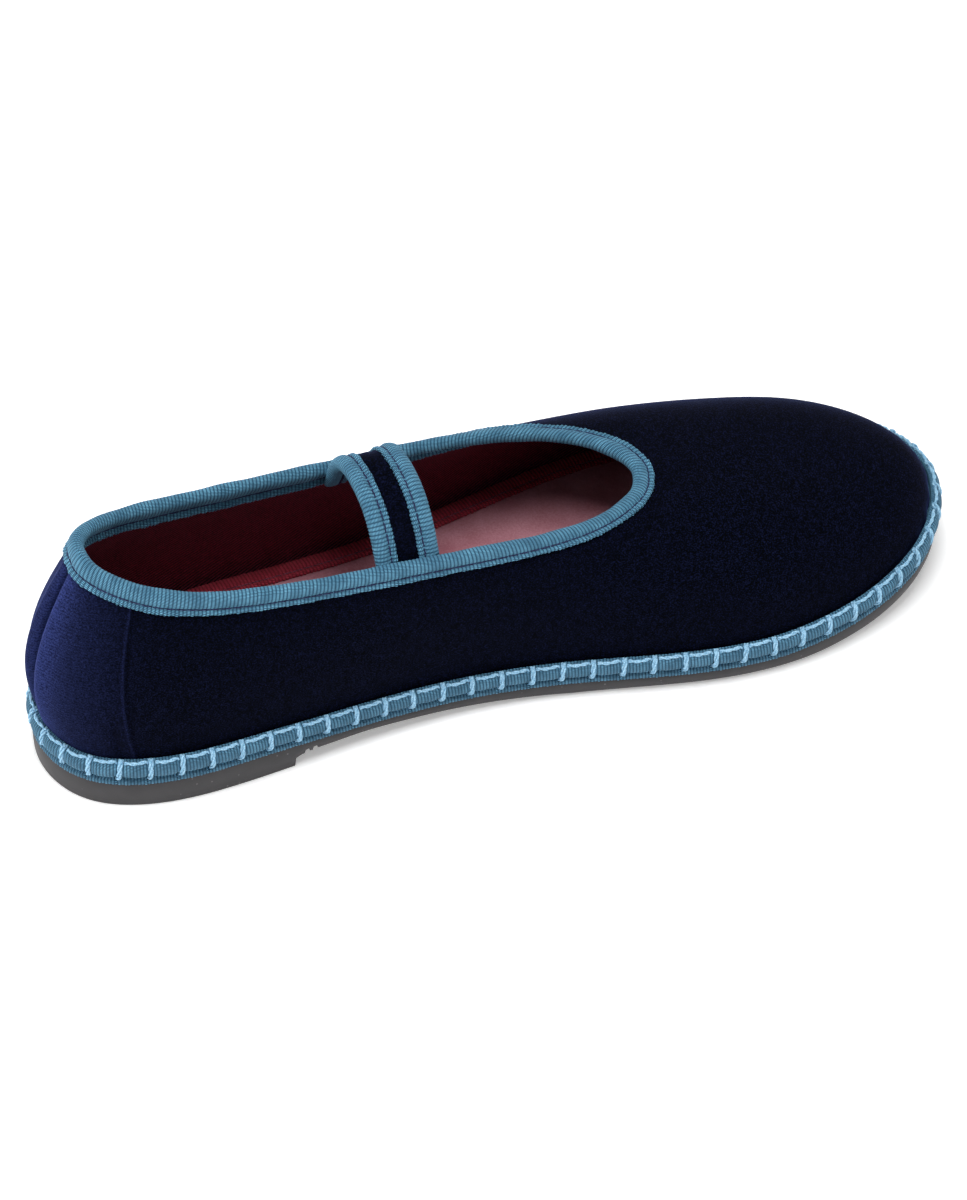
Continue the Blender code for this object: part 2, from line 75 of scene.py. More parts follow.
# Stations round the foot, from the heel's back along the inner side to the toe and back along the
# outer side. along and across place the sole's edge, top_along and top_across the collar, as shares
# of the length and the ball's width; climb runs from the instep's height to the heel's. rise and
# bulge are the wall's first handle above its foot, reach and drop its last one before the collar.
COLUMNS = ("along", "across", "top_along", "top_across", "climb", "rise", "bulge", "reach", "drop")
STATIONS = {
    "heel_back": (0.000, 0.000, 0.058, -0.010, 1.00, 20, 6.2, 10.0, 20),
    "heel_corner_medial": (0.027, 0.216, 0.071, 0.082, 0.92, 19, 5.0, 9.0, 19),
    "heel_side_medial": (0.087, 0.307, 0.112, 0.159, 0.76, 18, 2.6, 7.0, 18),
    "heel_front_medial": (0.179, 0.328, 0.190, 0.205, 0.555, 17, 2.2, 5.5, 16),
    "waist_medial": (0.298, 0.305, 0.302, 0.220, 0.41, 16, 2.0, 5.5, 14),
    "arch_medial": (0.417, 0.297, 0.413, 0.226, 0.32, 16, 1.8, 6.0, 12),
    "instep_medial": (0.536, 0.345, 0.516, 0.218, 0.20, 17, 1.8, 8.0, 8),
    "ball_back_medial": (0.643, 0.428, 0.591, 0.180, 0.09, 18, 1.6, 12.0, 4),
    "ball_medial": (0.746, 0.477, 0.637, 0.117, 0.03, 19, 1.6, 19.0, 3),
    "toe_side_medial": (0.865, 0.434, 0.657, 0.058, 0.00, 18, 1.8, 31.0, 5),
    "toe_corner_medial": (0.955, 0.295, 0.664, 0.013, 0.00, 16, 2.2, 43.0, 8),
    "toe_tip": (1.000, 0.034, 0.665, -0.025, 0.00, 15, 2.4, 48.0, 9),
    "toe_corner_lateral": (0.966, -0.232, 0.661, -0.068, 0.00, 16, 2.2, 43.0, 8),
    "toe_side_lateral": (0.880, -0.418, 0.648, -0.125, 0.01, 18, 1.8, 30.0, 5),
    "ball_lateral": (0.754, -0.508, 0.611, -0.199, 0.06, 19, 1.6, 19.0, 3),
    "ball_back_lateral": (0.635, -0.518, 0.550, -0.250, 0.15, 18, 1.6, 13.0, 4),
    "instep_lateral": (0.516, -0.466, 0.476, -0.268, 0.25, 17, 1.8, 9.0, 8),
    "waist_lateral": (0.397, -0.408, 0.393, -0.262, 0.34, 16, 1.8, 7.0, 12),
    "arch_lateral": (0.278, -0.372, 0.294, -0.250, 0.45, 16, 2.0, 6.0, 14),
    "heel_front_lateral": (0.179, -0.350, 0.190, -0.229, 0.59, 17, 2.4, 5.5, 16),
    "heel_side_lateral": (0.087, -0.308, 0.112, -0.180, 0.78, 18, 4.2, 7.0, 18),
    "heel_corner_lateral": (0.027, -0.192, 0.071, -0.106, 0.93, 19, 7.0, 9.0, 19),
}

# Heights along the foot, as shares of the seat's height and of the toe's spring
SEAT_LINE = ((0, 1.0), (0.20, 1.0), (0.30, 0.83), (0.40, 0.67), (0.52, 0.58), (0.64, 0.56), (0.74, 0.57),
             (0.84, 0.76), (0.93, 1.20), (1.0, 1.62))
FLOOR_LINE = ((0, 0), (0.78, 0), (0.86, 0.16), (0.93, 0.52), (1.0, 1.0))


def hex_colour(code: str) -> tuple[float, float, float, float]:
    """Turn an sRGB hex value into a linear colour.

    Args:
        code: the colour as "#rrggbb".

    Returns:
        Linear red, green and blue, and full alpha.
    """
    parts = [int(code[i:i + 2], 16) / 255 for i in (1, 3, 5)]
    red, green, blue = (p / 12.92 if p <= 0.04045 else ((p + 0.055) / 1.055) ** 2.4 for p in parts)
    return red, green, blue, 1.0


def feed(node: Node, inputs: dict[str | int, object]) -> None:
    """Link a node's sockets or set them.

    Args:
        node: the node.
        inputs: by a socket's name or place, a value, a colour as "#rrggbb", a socket, a node whose
            first output is meant, or a list of those where a socket takes several links.
    """
    for key, given in inputs.items():
        for value in given if isinstance(given, list) else [given]:
            if isinstance(value, Node):
                value = value.outputs[0]
            if isinstance(value, NodeSocket):
                node.id_data.links.new(value, node.inputs[key])
            elif isinstance(value, str) and value.startswith("#"):
                node.inputs[key].default_value = hex_colour(value)
            else:
                node.inputs[key].default_value = value


def add_node(tree: NodeTree, kind: str, *ordered: object, named: dict | None = None,
             **settings: object) -> Node:
    """Add one node to a tree with its settings and links.

    Args:
        tree: shader or geometry tree that takes the node.
        kind: the node's type name.
        ordered: what its first sockets take, in order.
        named: what other sockets take, by name or place.
        settings: the node's own properties.

    Returns:
        The new node.
    """
    node = tree.nodes.new(kind)
    for name, value in settings.items():
        setattr(node, name, value)
    feed(node, dict(enumerate(ordered)) | (named or {}))
    return node


def new_material(name: str) -> tuple[Material, Node, AddNode]:
    """Start a material.

    Args:
        name: what the real material is.

    Returns:
        The material, its Principled shader, and a call that adds a node to its tree.
    """
    material = bpy.data.materials.new(name)
    material.use_nodes = True
    tree = material.node_tree
    return material, tree.nodes["Principled BSDF"], partial(add_node, tree)


def lumps(place: object, size: float, detail: float) -> dict[str, object]:
    """Texture sockets for lumps of a real size in millimetres."""
    return {"Vector": place, "Scale": 1 / (size * MM), "Detail": detail}


def coat(shader: Node, colour: Node, height: Node, strength: float, depth: float,
         values: dict[str, object]) -> None:
    """Give a shader its colour and its fine relief, and the values that hold all over.

    Args:
        shader: the Principled shader.
        colour: the colour mix.
        height: what the relief follows.
        strength: how strongly the relief shows.
        depth: its depth in millimetres.
        values: by socket name, the rest.
    """
    relief = {"Strength": strength, "Distance": depth * MM, "Height": height}
    bump = add_node(shader.id_data, "ShaderNodeBump", named=relief)
    feed(shader, {"Base Color": colour.outputs[2], "Normal": bump} | values)


def start_tree(name: str, sizes: Sequence[str]) -> tuple[NodeTree, AddNode, Node]:
    """Start a geometry tree that grows something along lines.

    Args:
        name: the tree's name.
        sizes: names of its number inputs.

    Returns:
        The tree, a call that adds a node to it, and its input node.
    """
    tree = bpy.data.node_groups.new(name, "GeometryNodeTree")
    tree.interface.new_socket("Lines", in_out="INPUT", socket_type="NodeSocketGeometry")
    for size in sizes:
        tree.interface.new_socket(size, in_out="INPUT", socket_type="NodeSocketFloat")
    tree.interface.new_socket("Grown", in_out="OUTPUT", socket_type="NodeSocketGeometry")
    add = partial(add_node, tree)
    return tree, add, add("NodeGroupInput")


def end_tree(add: AddNode, grown: Node, material: Material) -> None:
    """End a geometry tree in plain, smooth faces with a finish.

    Args:
        add: the call that adds a node to the tree.
        grown: what the tree has grown.
        material: the finish.
    """
    real = add("GeometryNodeRealizeInstances", grown)
    smooth = add("GeometryNodeSetShadeSmooth", real)
    dressed = add("GeometryNodeSetMaterial", named={"Geometry": smooth, "Material": material})
    add("NodeGroupOutput", dressed)


def hermite(t: Points, start: Points, end: Points, start_slope: Points, end_slope: Points) -> Points:
    """Read a cubic between two values.

    Args:
        t: place between them, from 0 to 1.
        start, end: the values.
        start_slope, end_slope: slopes there.

    Returns:
        The cubic's values at t.
    """
    ease = t * t * (3 - 2 * t)
    return start + (end - start) * ease + t * (1 - t) * ((1 - t) * start_slope - t * end_slope)


def glide(table: Table, where: Points) -> Points:
    """Read a smooth curve with no overshoot through a table's rows.

    Args:
        table: rows of place and height.
        where: places to read.

    Returns:
        Heights there.
    """
    x, y = np.array(table, float).T
    gap = np.diff(x)
    slope = np.diff(y) / gap
    same_way = slope[1:] * slope[:-1] > 0
    total = np.where(same_way, slope[1:] + slope[:-1], 1.0)
    inner = np.where(same_way, 2 * slope[1:] * slope[:-1] / total, 0.0)
    tangent = np.concatenate([slope[:1], inner, slope[-1:]])
    where = np.clip(where, x[0], x[-1])
    i = np.clip(np.searchsorted(x, where, "right") - 1, 0, len(gap) - 1)
    t = (where - x[i]) / gap[i]
    return hermite(t, y[i], y[i + 1], tangent[i] * gap[i], tangent[i + 1] * gap[i])


def bezier(start: Points, first: Points, last: Points, end: Points, t: Points) -> Points:
    """Read a cubic Bezier curve.

    Args:
        start, end: its ends.
        first, last: its handles.
        t: places to read, from 0 to 1.

    Returns:
        Points of the curve.
    """
    return start * (1 - t) ** 3 + 3 * first * t * (1 - t) ** 2 + 3 * last * t ** 2 * (1 - t) + end * t ** 3


def loop_spline(knots: Points, rows: Points, at: Points) -> Points:
    """Read a smooth closed curve through rows.

    Args:
        knots: each row's share of the loop.
        rows: the values there.
        at: shares to read.

    Returns:
        One row of values for each share.
    """
    gap = np.diff(np.append(knots, 1.0))
    before = np.roll(gap, 1)
    jump = (np.roll(rows, -1, 0) - rows) / gap[:, None]
    i = np.arange(len(knots))
    system = np.zeros((len(knots), len(knots)))
    system[i, i] = 2 * (before + gap)
    system[i, i - 1] = gap
    system[i, (i + 1) % len(knots)] = before
    slope = np.linalg.solve(system, 3 * (gap[:, None] * np.roll(jump, 1, 0) + before[:, None] * jump))
    at = np.mod(at, 1.0)
    i = np.searchsorted(knots, at, "right") - 1
    j = (i + 1) % len(knots)
    t = ((at - knots[i]) / gap[i])[:, None]
    return hermite(t, rows[i], rows[j], slope[i] * gap[i][:, None], slope[j] * gap[i][:, None])


def chord_knots(points: Points) -> Points:
    """Give each point of a closed outline its share of the outline's length.

    Args:
        points: corners in order.

    Returns:
        Shares from 0, one for each point.
    """
    step = np.linalg.norm(np.roll(points, -1, 0) - points, axis=1)
    return np.concatenate([[0], np.cumsum(step)[:-1]]) / step.sum()


def running_length(points: Points) -> Points:
    """Measure along an open line.

    Args:
        points: points in order.

    Returns:
        The distance from the first point to each.
    """
    return np.concatenate([[0], np.cumsum(np.linalg.norm(np.diff(points, axis=0), axis=1))])


def unit(ways: Points) -> Points:
    """Directions of length 1."""
    return ways / np.linalg.norm(ways, axis=-1, keepdims=True)


def ring_faces(size: int, base: int, over: int) -> list[tuple[int, ...]]:
    """Quads between two closed rings of size points, whose first points have the numbers base and over."""
    return [(base + i, base + (i + 1) % size, over + (i + 1) % size, over + i) for i in range(size)]


def put(name: str, data: ID) -> Object:
    """Put data in the scene as an object at the origin.

    Args:
        name: the object's name.
        data: its mesh, lamp or camera.

    Returns:
        The object.
    """
    made = bpy.data.objects.new(name, data)
    bpy.context.scene.collection.objects.link(made)
    return made


def plain_mesh(holder: Object) -> Mesh:
    """Mesh of an object as its modifiers leave it."""
    graph = bpy.context.evaluated_depsgraph_get()
    return bpy.data.meshes.new_from_object(holder.evaluated_get(graph), depsgraph=graph)


def bell(x: Points, half_width: float) -> Points:
    """Read a bell curve, 1 high, at x from its middle."""
    return np.exp(-(x / half_width) ** 2)


def eased(count: int) -> Points:
    """Shares from 0 to 1 in count steps that grow shorter toward both ends."""
    return (1 - np.cos(np.pi * np.arange(count + 1) / count)) / 2


def section(table: dict[str, tuple[float, ...]], count: int) -> tuple[Points, Points, Points]:
    """Round off a closed section.

    Args:
        table: named corners; the first two columns are places, the rest go along with them.
        count: points wanted.

    Returns:
        Rows spaced evenly round the section, its outward directions, and the distance round it of
        each row and of the closing point.
    """
    rows = np.array(list(table.values()), float)
    knots = chord_knots(rows[:, :2])
    fine = loop_spline(knots, rows, np.linspace(0, 1, 8 * count, endpoint=False))
    length = running_length(np.vstack([fine, fine[:1]])[:, :2])
    wanted = np.linspace(0, length[-1], count + 1)
    share = np.interp(wanted[:-1], length, np.linspace(0, 1, 8 * count + 1))
    even = loop_spline(knots, rows, share)
    along = np.roll(even[:, :2], -1, 0) - np.roll(even[:, :2], 1, 0)
    normal = np.column_stack([along[:, 1], -along[:, 0]]) / np.linalg.norm(along, axis=1)[:, None]
    area = np.sum(even[:, 0] * np.roll(even[:, 1], -1) - even[:, 1] * np.roll(even[:, 0], -1))
    return even, normal * np.sign(area), wanted


@dataclass
class Last:
    """The foot's form: the sole's edge, the collar and the wall between them."""

    length: float = 252.0
    ball_width: float = 88.0
    heel_height: float = 68.5
    instep_height: float = 44.0
    seat_height: float = 7.2
    toe_spring: float = 7.0
    upper_inset: float = 2.3
    upper_base: float = 5.6
    seam_depth: float = 1.3
    seam_half_width: float = 2.2
    roll_reach: float = 0.7
    samples: int = 97
    dense: int = 4000
    rows: Points = field(init=False)
    knots: Points = field(init=False)
    shift: Points = field(init=False)

    def __post_init__(self) -> None:
        """Turn the stations into millimetres and find where the frame puts the shoe."""
        column = dict(zip(COLUMNS, np.array(list(STATIONS.values()), float).T))
        climb = column["climb"] * (self.heel_height - self.instep_height)
        self.rows = np.column_stack([
            column["along"] * self.length, column["across"] * self.ball_width,
            column["top_along"] * self.length, column["top_across"] * self.ball_width,
            self.instep_height + climb,
            column["rise"], column["bulge"], column["reach"], column["drop"]])
        self.knots = chord_knots(self.rows[:, :2])
        low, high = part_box("midsole")
        edge = self.edge(np.arange(self.dense) / self.dense, self.roll_reach)
        own_middle = (edge.min(axis=0) + edge.max(axis=0)) / 2
        frame_middle = (low + high) / 2 / MM
        self.shift = np.array([frame_middle.x + own_middle[1], frame_middle.y + own_middle[0]])

    def place(self, points: Points) -> Points:
        """Move points from the shoe's directions to the frame.

        Args:
            points: rows of s, n and z in millimetres.

        Returns:
            Rows of x, y and z in metres.
        """
        s, n, z = np.moveaxis(np.asarray(points, float), -1, 0)
        return np.stack([self.shift[0] - n, self.shift[1] - s, z], axis=-1) * MM

    def read(self, share: Points) -> Points:
        """Station columns, in millimetres, at shares of the loop."""
        return loop_spline(self.knots, self.rows, np.asarray(share, float))

    def outward(self, share: Points) -> Points:
        """Find the level directions out of the sole's edge.

        Args:
            share: shares of the loop.

        Returns:
            Directions there, as s and n.
        """
        step = 0.5 / self.dense
        along = unit(self.read(share + step)[:, :2] - self.read(share - step)[:, :2])
        return np.column_stack([-along[:, 1], along[:, 0]])

    def edge(self, share: Points, offset: float | Points) -> Points:
        """Plan points offset outward from the sole's edge at shares of the loop."""
        return self.read(share)[:, :2] + np.reshape(offset, (-1, 1)) * self.outward(share)

    def seat(self, s: Points) -> Points:
        """Height of the rubber's top at s."""
        return self.seat_height * glide(SEAT_LINE, s / self.length)

    def floor(self, s: Points) -> Points:
        """Height of the walked-on bottom at s, lifted at the toe."""
        return self.toe_spring * glide(FLOOR_LINE, s / self.length)

    def even_shares(self, collar: bool, count: int) -> tuple[Points, float]:
        """Space columns evenly along the collar or the sole's edge.

        Args:
            collar: along the collar, and otherwise along the sole's edge.
            count: columns wanted.

        Returns:
            Shares of the loop, and the length of the line in millimetres.
        """
        share = np.linspace(0, 1, self.dense + 1)
        line = self.read(share)[:, 2:5] if collar else self.read(share)[:, :2]
        run = running_length(line)
        return np.interp(np.arange(count) / count * run[-1], run, share), float(run[-1])

    def share_at(self, along: Points) -> Points:
        """Find shares of the loop by distance along the sole's edge.

        Args:
            along: distances, which may run past a full turn.

        Returns:
            Shares there.
        """
        share, length = self.even_shares(False, self.dense)
        turns = np.floor(along / length)
        run = np.arange(len(share) + 1) / len(share) * length
        return turns + np.interp(along - turns * length, run, np.append(share, 1.0))

    def curves(self, share: Points) -> Points:
        """Work out the wall's outer face.

        Args:
            share: shares of the loop.

        Returns:
            Points from collar to foot, as samples by shares by 3.
        """
        row, outward = self.read(share), self.outward(share)
        foot_plan = row[:, :2] - self.upper_inset * outward
        foot = np.column_stack([foot_plan, self.seat(foot_plan[:, 0]) + self.upper_base])
        top = row[:, 2:5]
        rise, bulge, reach, drop = row[:, 5:].T
        away = unit(foot_plan - top[:, :2])
        first = foot + np.column_stack([outward * bulge[:, None], rise])
        last = top + np.column_stack([away * reach[:, None], -drop])
        down = np.linspace(0, 1, self.samples)[:, None]
        face = bezier(top, last, first, foot, down[:, :, None])
        at_heel = row[:, 0] < self.length / 4
        trough = at_heel * self.seam_depth * bell(row[:, 1], self.seam_half_width)
        face[:, :, :2] -= (trough * 4 * down * (1 - down))[:, :, None] * outward
        return face

    def wall_height(self, share: Points) -> Points:
        """Length of the wall from collar to foot at shares of the loop."""
        return np.linalg.norm(np.diff(self.curves(share), axis=0), axis=2).sum(axis=0)

    def wall(self, share: Points, drop: Points, depth: float | Points) -> tuple[Points, Points]:
        """Place points on the upper.

        Args:
            share: one share of the loop for each column.
            drop: rows by columns of millimetres down the wall; above the collar it is below zero.
            depth: millimetres inside the wall's outer face, for all points or for each.

        Returns:
            Rows by columns of points, and the ways that the wall faces there.
        """
        turn = 0.5 / self.dense
        face = self.curves(share)
        round_wall = self.curves(share + turn) - self.curves(share - turn)
        facing = unit(np.cross(round_wall, np.gradient(face, axis=0)))
        steps = np.linalg.norm(np.diff(face, axis=0), axis=2)
        run = np.vstack([np.zeros(len(share)), np.cumsum(steps, axis=0)])
        up = unit(face[0] - face[1])
        drop = np.broadcast_to(drop, (len(drop), len(share)))
        read = np.empty((len(drop), len(share), 6))
        both = np.concatenate([face, facing], axis=2)
        for i in range(len(share)):
            for k in range(6):
                read[:, i, k] = np.interp(drop[:, i], run[:, i], both[:, i, k])
        way = unit(read[..., 3:])
        point = read[..., :3] + up * np.maximum(-drop, 0)[:, :, None]
        return point - way * np.broadcast_to(depth, drop.shape)[:, :, None], way


@dataclass
class Maker:
    last: Last
    stitch_pitch: float = 3.0
    stitch_rise: float = 0.1

    def piece(self, name: str, points: Points, faces: list, material: Material,
              corners: Points | None = None, sharp: float | None = None) -> Object:
        """Make one closed piece with its faces turned outward.

        Args:
            name: the piece's name.
            points: rows of s, n and z in millimetres.
            faces: tuples of point numbers.
            material: its finish.
            corners: place on the cloth of each face corner, in millimetres.
            sharp: angle in radians past which an edge stays sharp.

        Returns:
            The object, at the origin.
        """
        mesh = bpy.data.meshes.new(name)
        mesh.from_pydata(self.last.place(points).tolist(), [], faces)
        if corners is not None:
            cloth = mesh.uv_layers.new(name=CLOTH_MAP)
            cloth.uv.foreach_set("vector", np.asarray(corners, np.float32).ravel())
        work = bmesh.new()
        work.from_mesh(mesh)
        bmesh.ops.recalc_face_normals(work, faces=work.faces)
        work.to_mesh(mesh)
        work.free()
        mesh.shade_smooth()
        if sharp is not None:
            mesh.set_sharp_from_angle(angle=sharp)
        return self.shown(name, mesh, material)

    def shown(self, name: str, mesh: Mesh, material: Material) -> Object:
        """Put a mesh in the scene as one object with one material.

        Args:
            name: the object's name.
            mesh: its mesh.
            material: its finish.

        Returns:
            The object.
        """
        mesh.materials.clear()
        mesh.materials.append(material)
        return put(name, mesh)

    def loft(self, name: str, rows: Points, along: Points, across: Points, material: Material,
             closed: bool = True, lean: float = 0.0) -> Object:
        """Make a tube through a grid whose rows run along it and close round its section.

        Args:
            name: the piece's name.
            rows: section rows by columns by 3, in millimetres.
            along: cloth place of each column, and of the closing one on a closed loop.
            across: cloth place of each row and of the closing one.
            material: its finish.
            closed: the columns close into a ring; otherwise both ends are capped.
            lean: how far the cloth's ribs run along for each millimetre across.

        Returns:
            The object.
        """
        high, wide = rows.shape[:2]
        j, i = np.meshgrid(np.arange(high), np.arange(wide if closed else wide - 1), indexing="ij")
        j, i = j.ravel(), i.ravel()
        up, on = (j + 1) % high, (i + 1) % wide
        faces = np.column_stack([j * wide + i, j * wide + on, up * wide + on, up * wide + i]).tolist()
        u = np.column_stack([along[i], along[i + 1], along[i + 1], along[i]])
        v = np.column_stack([across[j], across[j], across[j + 1], across[j + 1]])
        corners = np.stack([u + lean * v, v], axis=-1).reshape(-1, 2)
        if not closed:
            for end in (0, wide - 1):
                faces.append([row * wide + end for row in range(high)])
                cap = np.column_stack([np.full(high, along[end]), across[:high]])
                corners = np.vstack([corners, cap])
        return self.piece(name, rows.reshape(-1, 3), faces, material, corners)

    def slab(self, name: str, rings: Sequence[Points], material: Material,
             sharp: float | None = None) -> Object:
        """Make a solid through sole-shaped rings, bridged from side to side at its top and bottom.

        Args:
            name: the piece's name.
            rings: loops of points, inner side heel to toe and then outer side back.
            material: its finish.
            sharp: angle in radians past which an edge stays sharp.

        Returns:
            The object.
        """
        size = len(rings[0])
        half = size // 2
        faces = []
        for j in range(len(rings) - 1):
            faces += ring_faces(size, j * size, (j + 1) * size)
        for base in (0, size * (len(rings) - 1)):
            faces += [(base, base + 1, base + size - 1), (base + half - 1, base + half, base + half + 1)]
            for i in range(1, half - 1):
                faces.append((base + i, base + i + 1, base + size - i - 1, base + size - i))
        return self.piece(name, np.concatenate(rings), faces, material, sharp=sharp)

    def paired(self, rungs: Points) -> Points:
        """Shares round the loop that meet the same s on both sides.

        Args:
            rungs: rising places along the foot, as shares of the way from its back to its tip.

        Returns:
            Shares, inner side heel to toe and then outer side back.
        """
        loop = np.arange(self.last.dense + 1) / self.last.dense
        around = loop[self.last.read(loop[:-1])[:, 0].argmin()] + loop
        along = self.last.read(around)[:, 0]
        toe = along.argmax()
        s = along[0] + (along[toe] - along[0]) * rungs
        out = np.interp(s, along[:toe + 1], around[:toe + 1])
        home = np.interp(s, along[:toe - 1:-1], around[:toe - 1:-1])
        return np.concatenate([out, home[-2:0:-1]])

    def grown(self, name: str, lines: Sequence[Points], facing: Sequence[Points] | None,
              tree: NodeTree, sizes: dict[str, float], material: Material,
              closed: bool = False) -> Object:
        """Grow a plain mesh from lines with a geometry-nodes tree.

        Args:
            name: the piece's name.
            lines: lines of points in millimetres.
            facing: the way that the cloth faces at each point, in the shoe's directions.
            tree: the geometry tree.
            sizes: the tree's named inputs, in metres where they are lengths.
            material: its finish.
            closed: each line closes on itself.

        Returns:
            The object.
        """
        points = self.last.place(np.concatenate(lines))
        edges, base = [], 0
        for line in lines:
            edges += [(base + i, base + i + 1) for i in range(len(line) - 1)]
            edges += [(base + len(line) - 1, base)] * closed
            base += len(line)
        mesh = bpy.data.meshes.new(name + "_lines")
        mesh.from_pydata(points.tolist(), edges, [])
        if facing is not None:
            s, n, z = np.concatenate(facing).T
            way = mesh.attributes.new(FACING, "FLOAT_VECTOR", "POINT")
            way.data.foreach_set("vector", np.column_stack([-n, -s, z]).astype(np.float32).ravel())
        guide = put(name + "_lines", mesh)
        step = guide.modifiers.new("grow", "NODES")
        step.node_group = tree
        for item in tree.interface.items_tree:
            if item.name in sizes:
                step[item.identifier] = sizes[item.name]
        made = plain_mesh(guide)
        made.name = name
        guide.modifiers.remove(step)
        bpy.data.objects.remove(guide)
        return self.shown(name, made, material)

    def sewn(self, name: str, lines: Sequence[Points], facing: Sequence[Points], finish: "Finish",
             stitch: float, radius: float, closed: bool = False) -> Object:
        """Sew lines with a running stitch.

        Args:
            name: the piece's name.
            lines: lines of points in millimetres.
            facing: the way that the cloth faces at each point.
            finish: the thread's finish.
            stitch: length of one stitch.
            radius: the thread's radius.
            closed: each line closes on itself.

        Returns:
            The object.
        """
        sizes = {"Pitch": self.stitch_pitch * MM, "Stitch": stitch * MM, "Rise": self.stitch_rise * MM,
                 "Radius": radius * MM}
        thread = finish.get()
        return self.grown(name, lines, facing, RunningStitch(name).tree(thread), sizes, thread, closed)


def declare(piece: Object, slot: str, *nodes: str) -> None:
    """Tie a piece to the shoe's one body and hide the solids that it stands for.

    Args:
        piece: the piece.
        slot: the record's material slot; not used.
        nodes: solids that it replaces.
    """
    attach(piece, "root")
    if nodes:
        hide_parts(*nodes)
    piece.data.calc_loop_triangles()
    LOG.info("%s: %d triangles", piece.name, len(piece.data.loop_triangles))


@dataclass(frozen=True)
class Grosgrain:
    """Ribbed cotton tape: plump ribs lie side by side, and yarns cross them like bricks, with highlights
    painted on their crowns and shade painted in the gaps.
    """

    name: str
    # hollow is shade painted in the valleys and gaps, light a highlight painted on the yarns' crowns
    hollow: str
    body: str
    light: str
    rib: float = 1.0
    pick: float = 0.36
    slant: float = 0.3

    def material(self) -> Material:
        """Build the tape's material.

        Returns:
            The material, on the piece's cloth map in millimetres.
        """
        material, shader, add = new_material(self.name)
        cloth = add("ShaderNodeUVMap", uv_map=CLOTH_MAP)
        place = add("ShaderNodeSeparateXYZ", cloth)
        ribs = add(MATH, place.outputs[0], self.rib, operation="DIVIDE")
        number = add(MATH, ribs, operation="FLOOR")
        part = add(MATH, ribs, operation="FRACT")
        odd = add(MATH, number, 2.0, operation="FLOORED_MODULO")
        lean = add(MATH, part, self.slant, operation="MULTIPLY")
        one_rib = add("ShaderNodeTexWhiteNoise", named={"W": number}, noise_dimensions="1D")
        start = add(MATH, one_rib, 0.3, lean, operation="MULTIPLY_ADD")
        offset = add(MATH, odd, 0.5, start, operation="MULTIPLY_ADD")
        row = add(MATH, place.outputs[1], 1 / self.pick, offset, operation="MULTIPLY_ADD")
        turn = add(MATH, row, np.pi, operation="MULTIPLY")
        wave = add(MATH, turn, operation="SINE")
        yarn = add(MATH, wave, operation="ABSOLUTE")
        swell = add(MATH, part, np.pi, operation="MULTIPLY")
        arch = add(MATH, swell, operation="SINE")
        plump = add(RANGE, arch, 0.0, 0.9, 0.5, 1.0)
        laid = add(RANGE, yarn, 0.0, 0.95, 0.0, 1.0)
        height = add(MATH, plump, laid, operation="MULTIPLY")
        patch = add(NOISE, named={"Vector": cloth, "Scale": 0.22, "Detail": 3.0})
        fuzz = add(NOISE, named={"Vector": cloth, "Scale": 2.6, "Detail": 4.0})
        # Painted shade: the colour darkens where the relief is low
        mixed = add(MIX, height, named={6: self.hollow, 7: self.body}, data_type="RGBA")
        # Painted highlight on the crowns, stronger on some ribs and patches than others
        painted_highlight_patches = add(MATH, one_rib, 0.1, patch, operation="MULTIPLY_ADD")
        spread = add(RANGE, painted_highlight_patches, 0.4, 0.8, 0.45, 1.0)
        crown = add(RANGE, height, 0.5, 1.0, 0.0, 1.0)
        gleam = add(MATH, spread, crown, operation="MULTIPLY")
        colour = add(MIX, gleam, named={6: mixed.outputs[2], 7: self.light}, data_type="RGBA")
        rough = add(MATH, fuzz, 0.3, height, operation="MULTIPLY_ADD")
        coat(shader, colour, rough, 0.7, 0.25, {
            "Roughness": 0.7, "IOR": 1.46, "Specular IOR Level": 0.35,
            "Sheen Weight": 0.15, "Sheen Roughness": 0.5, "Sheen Tint": self.light})
        return material


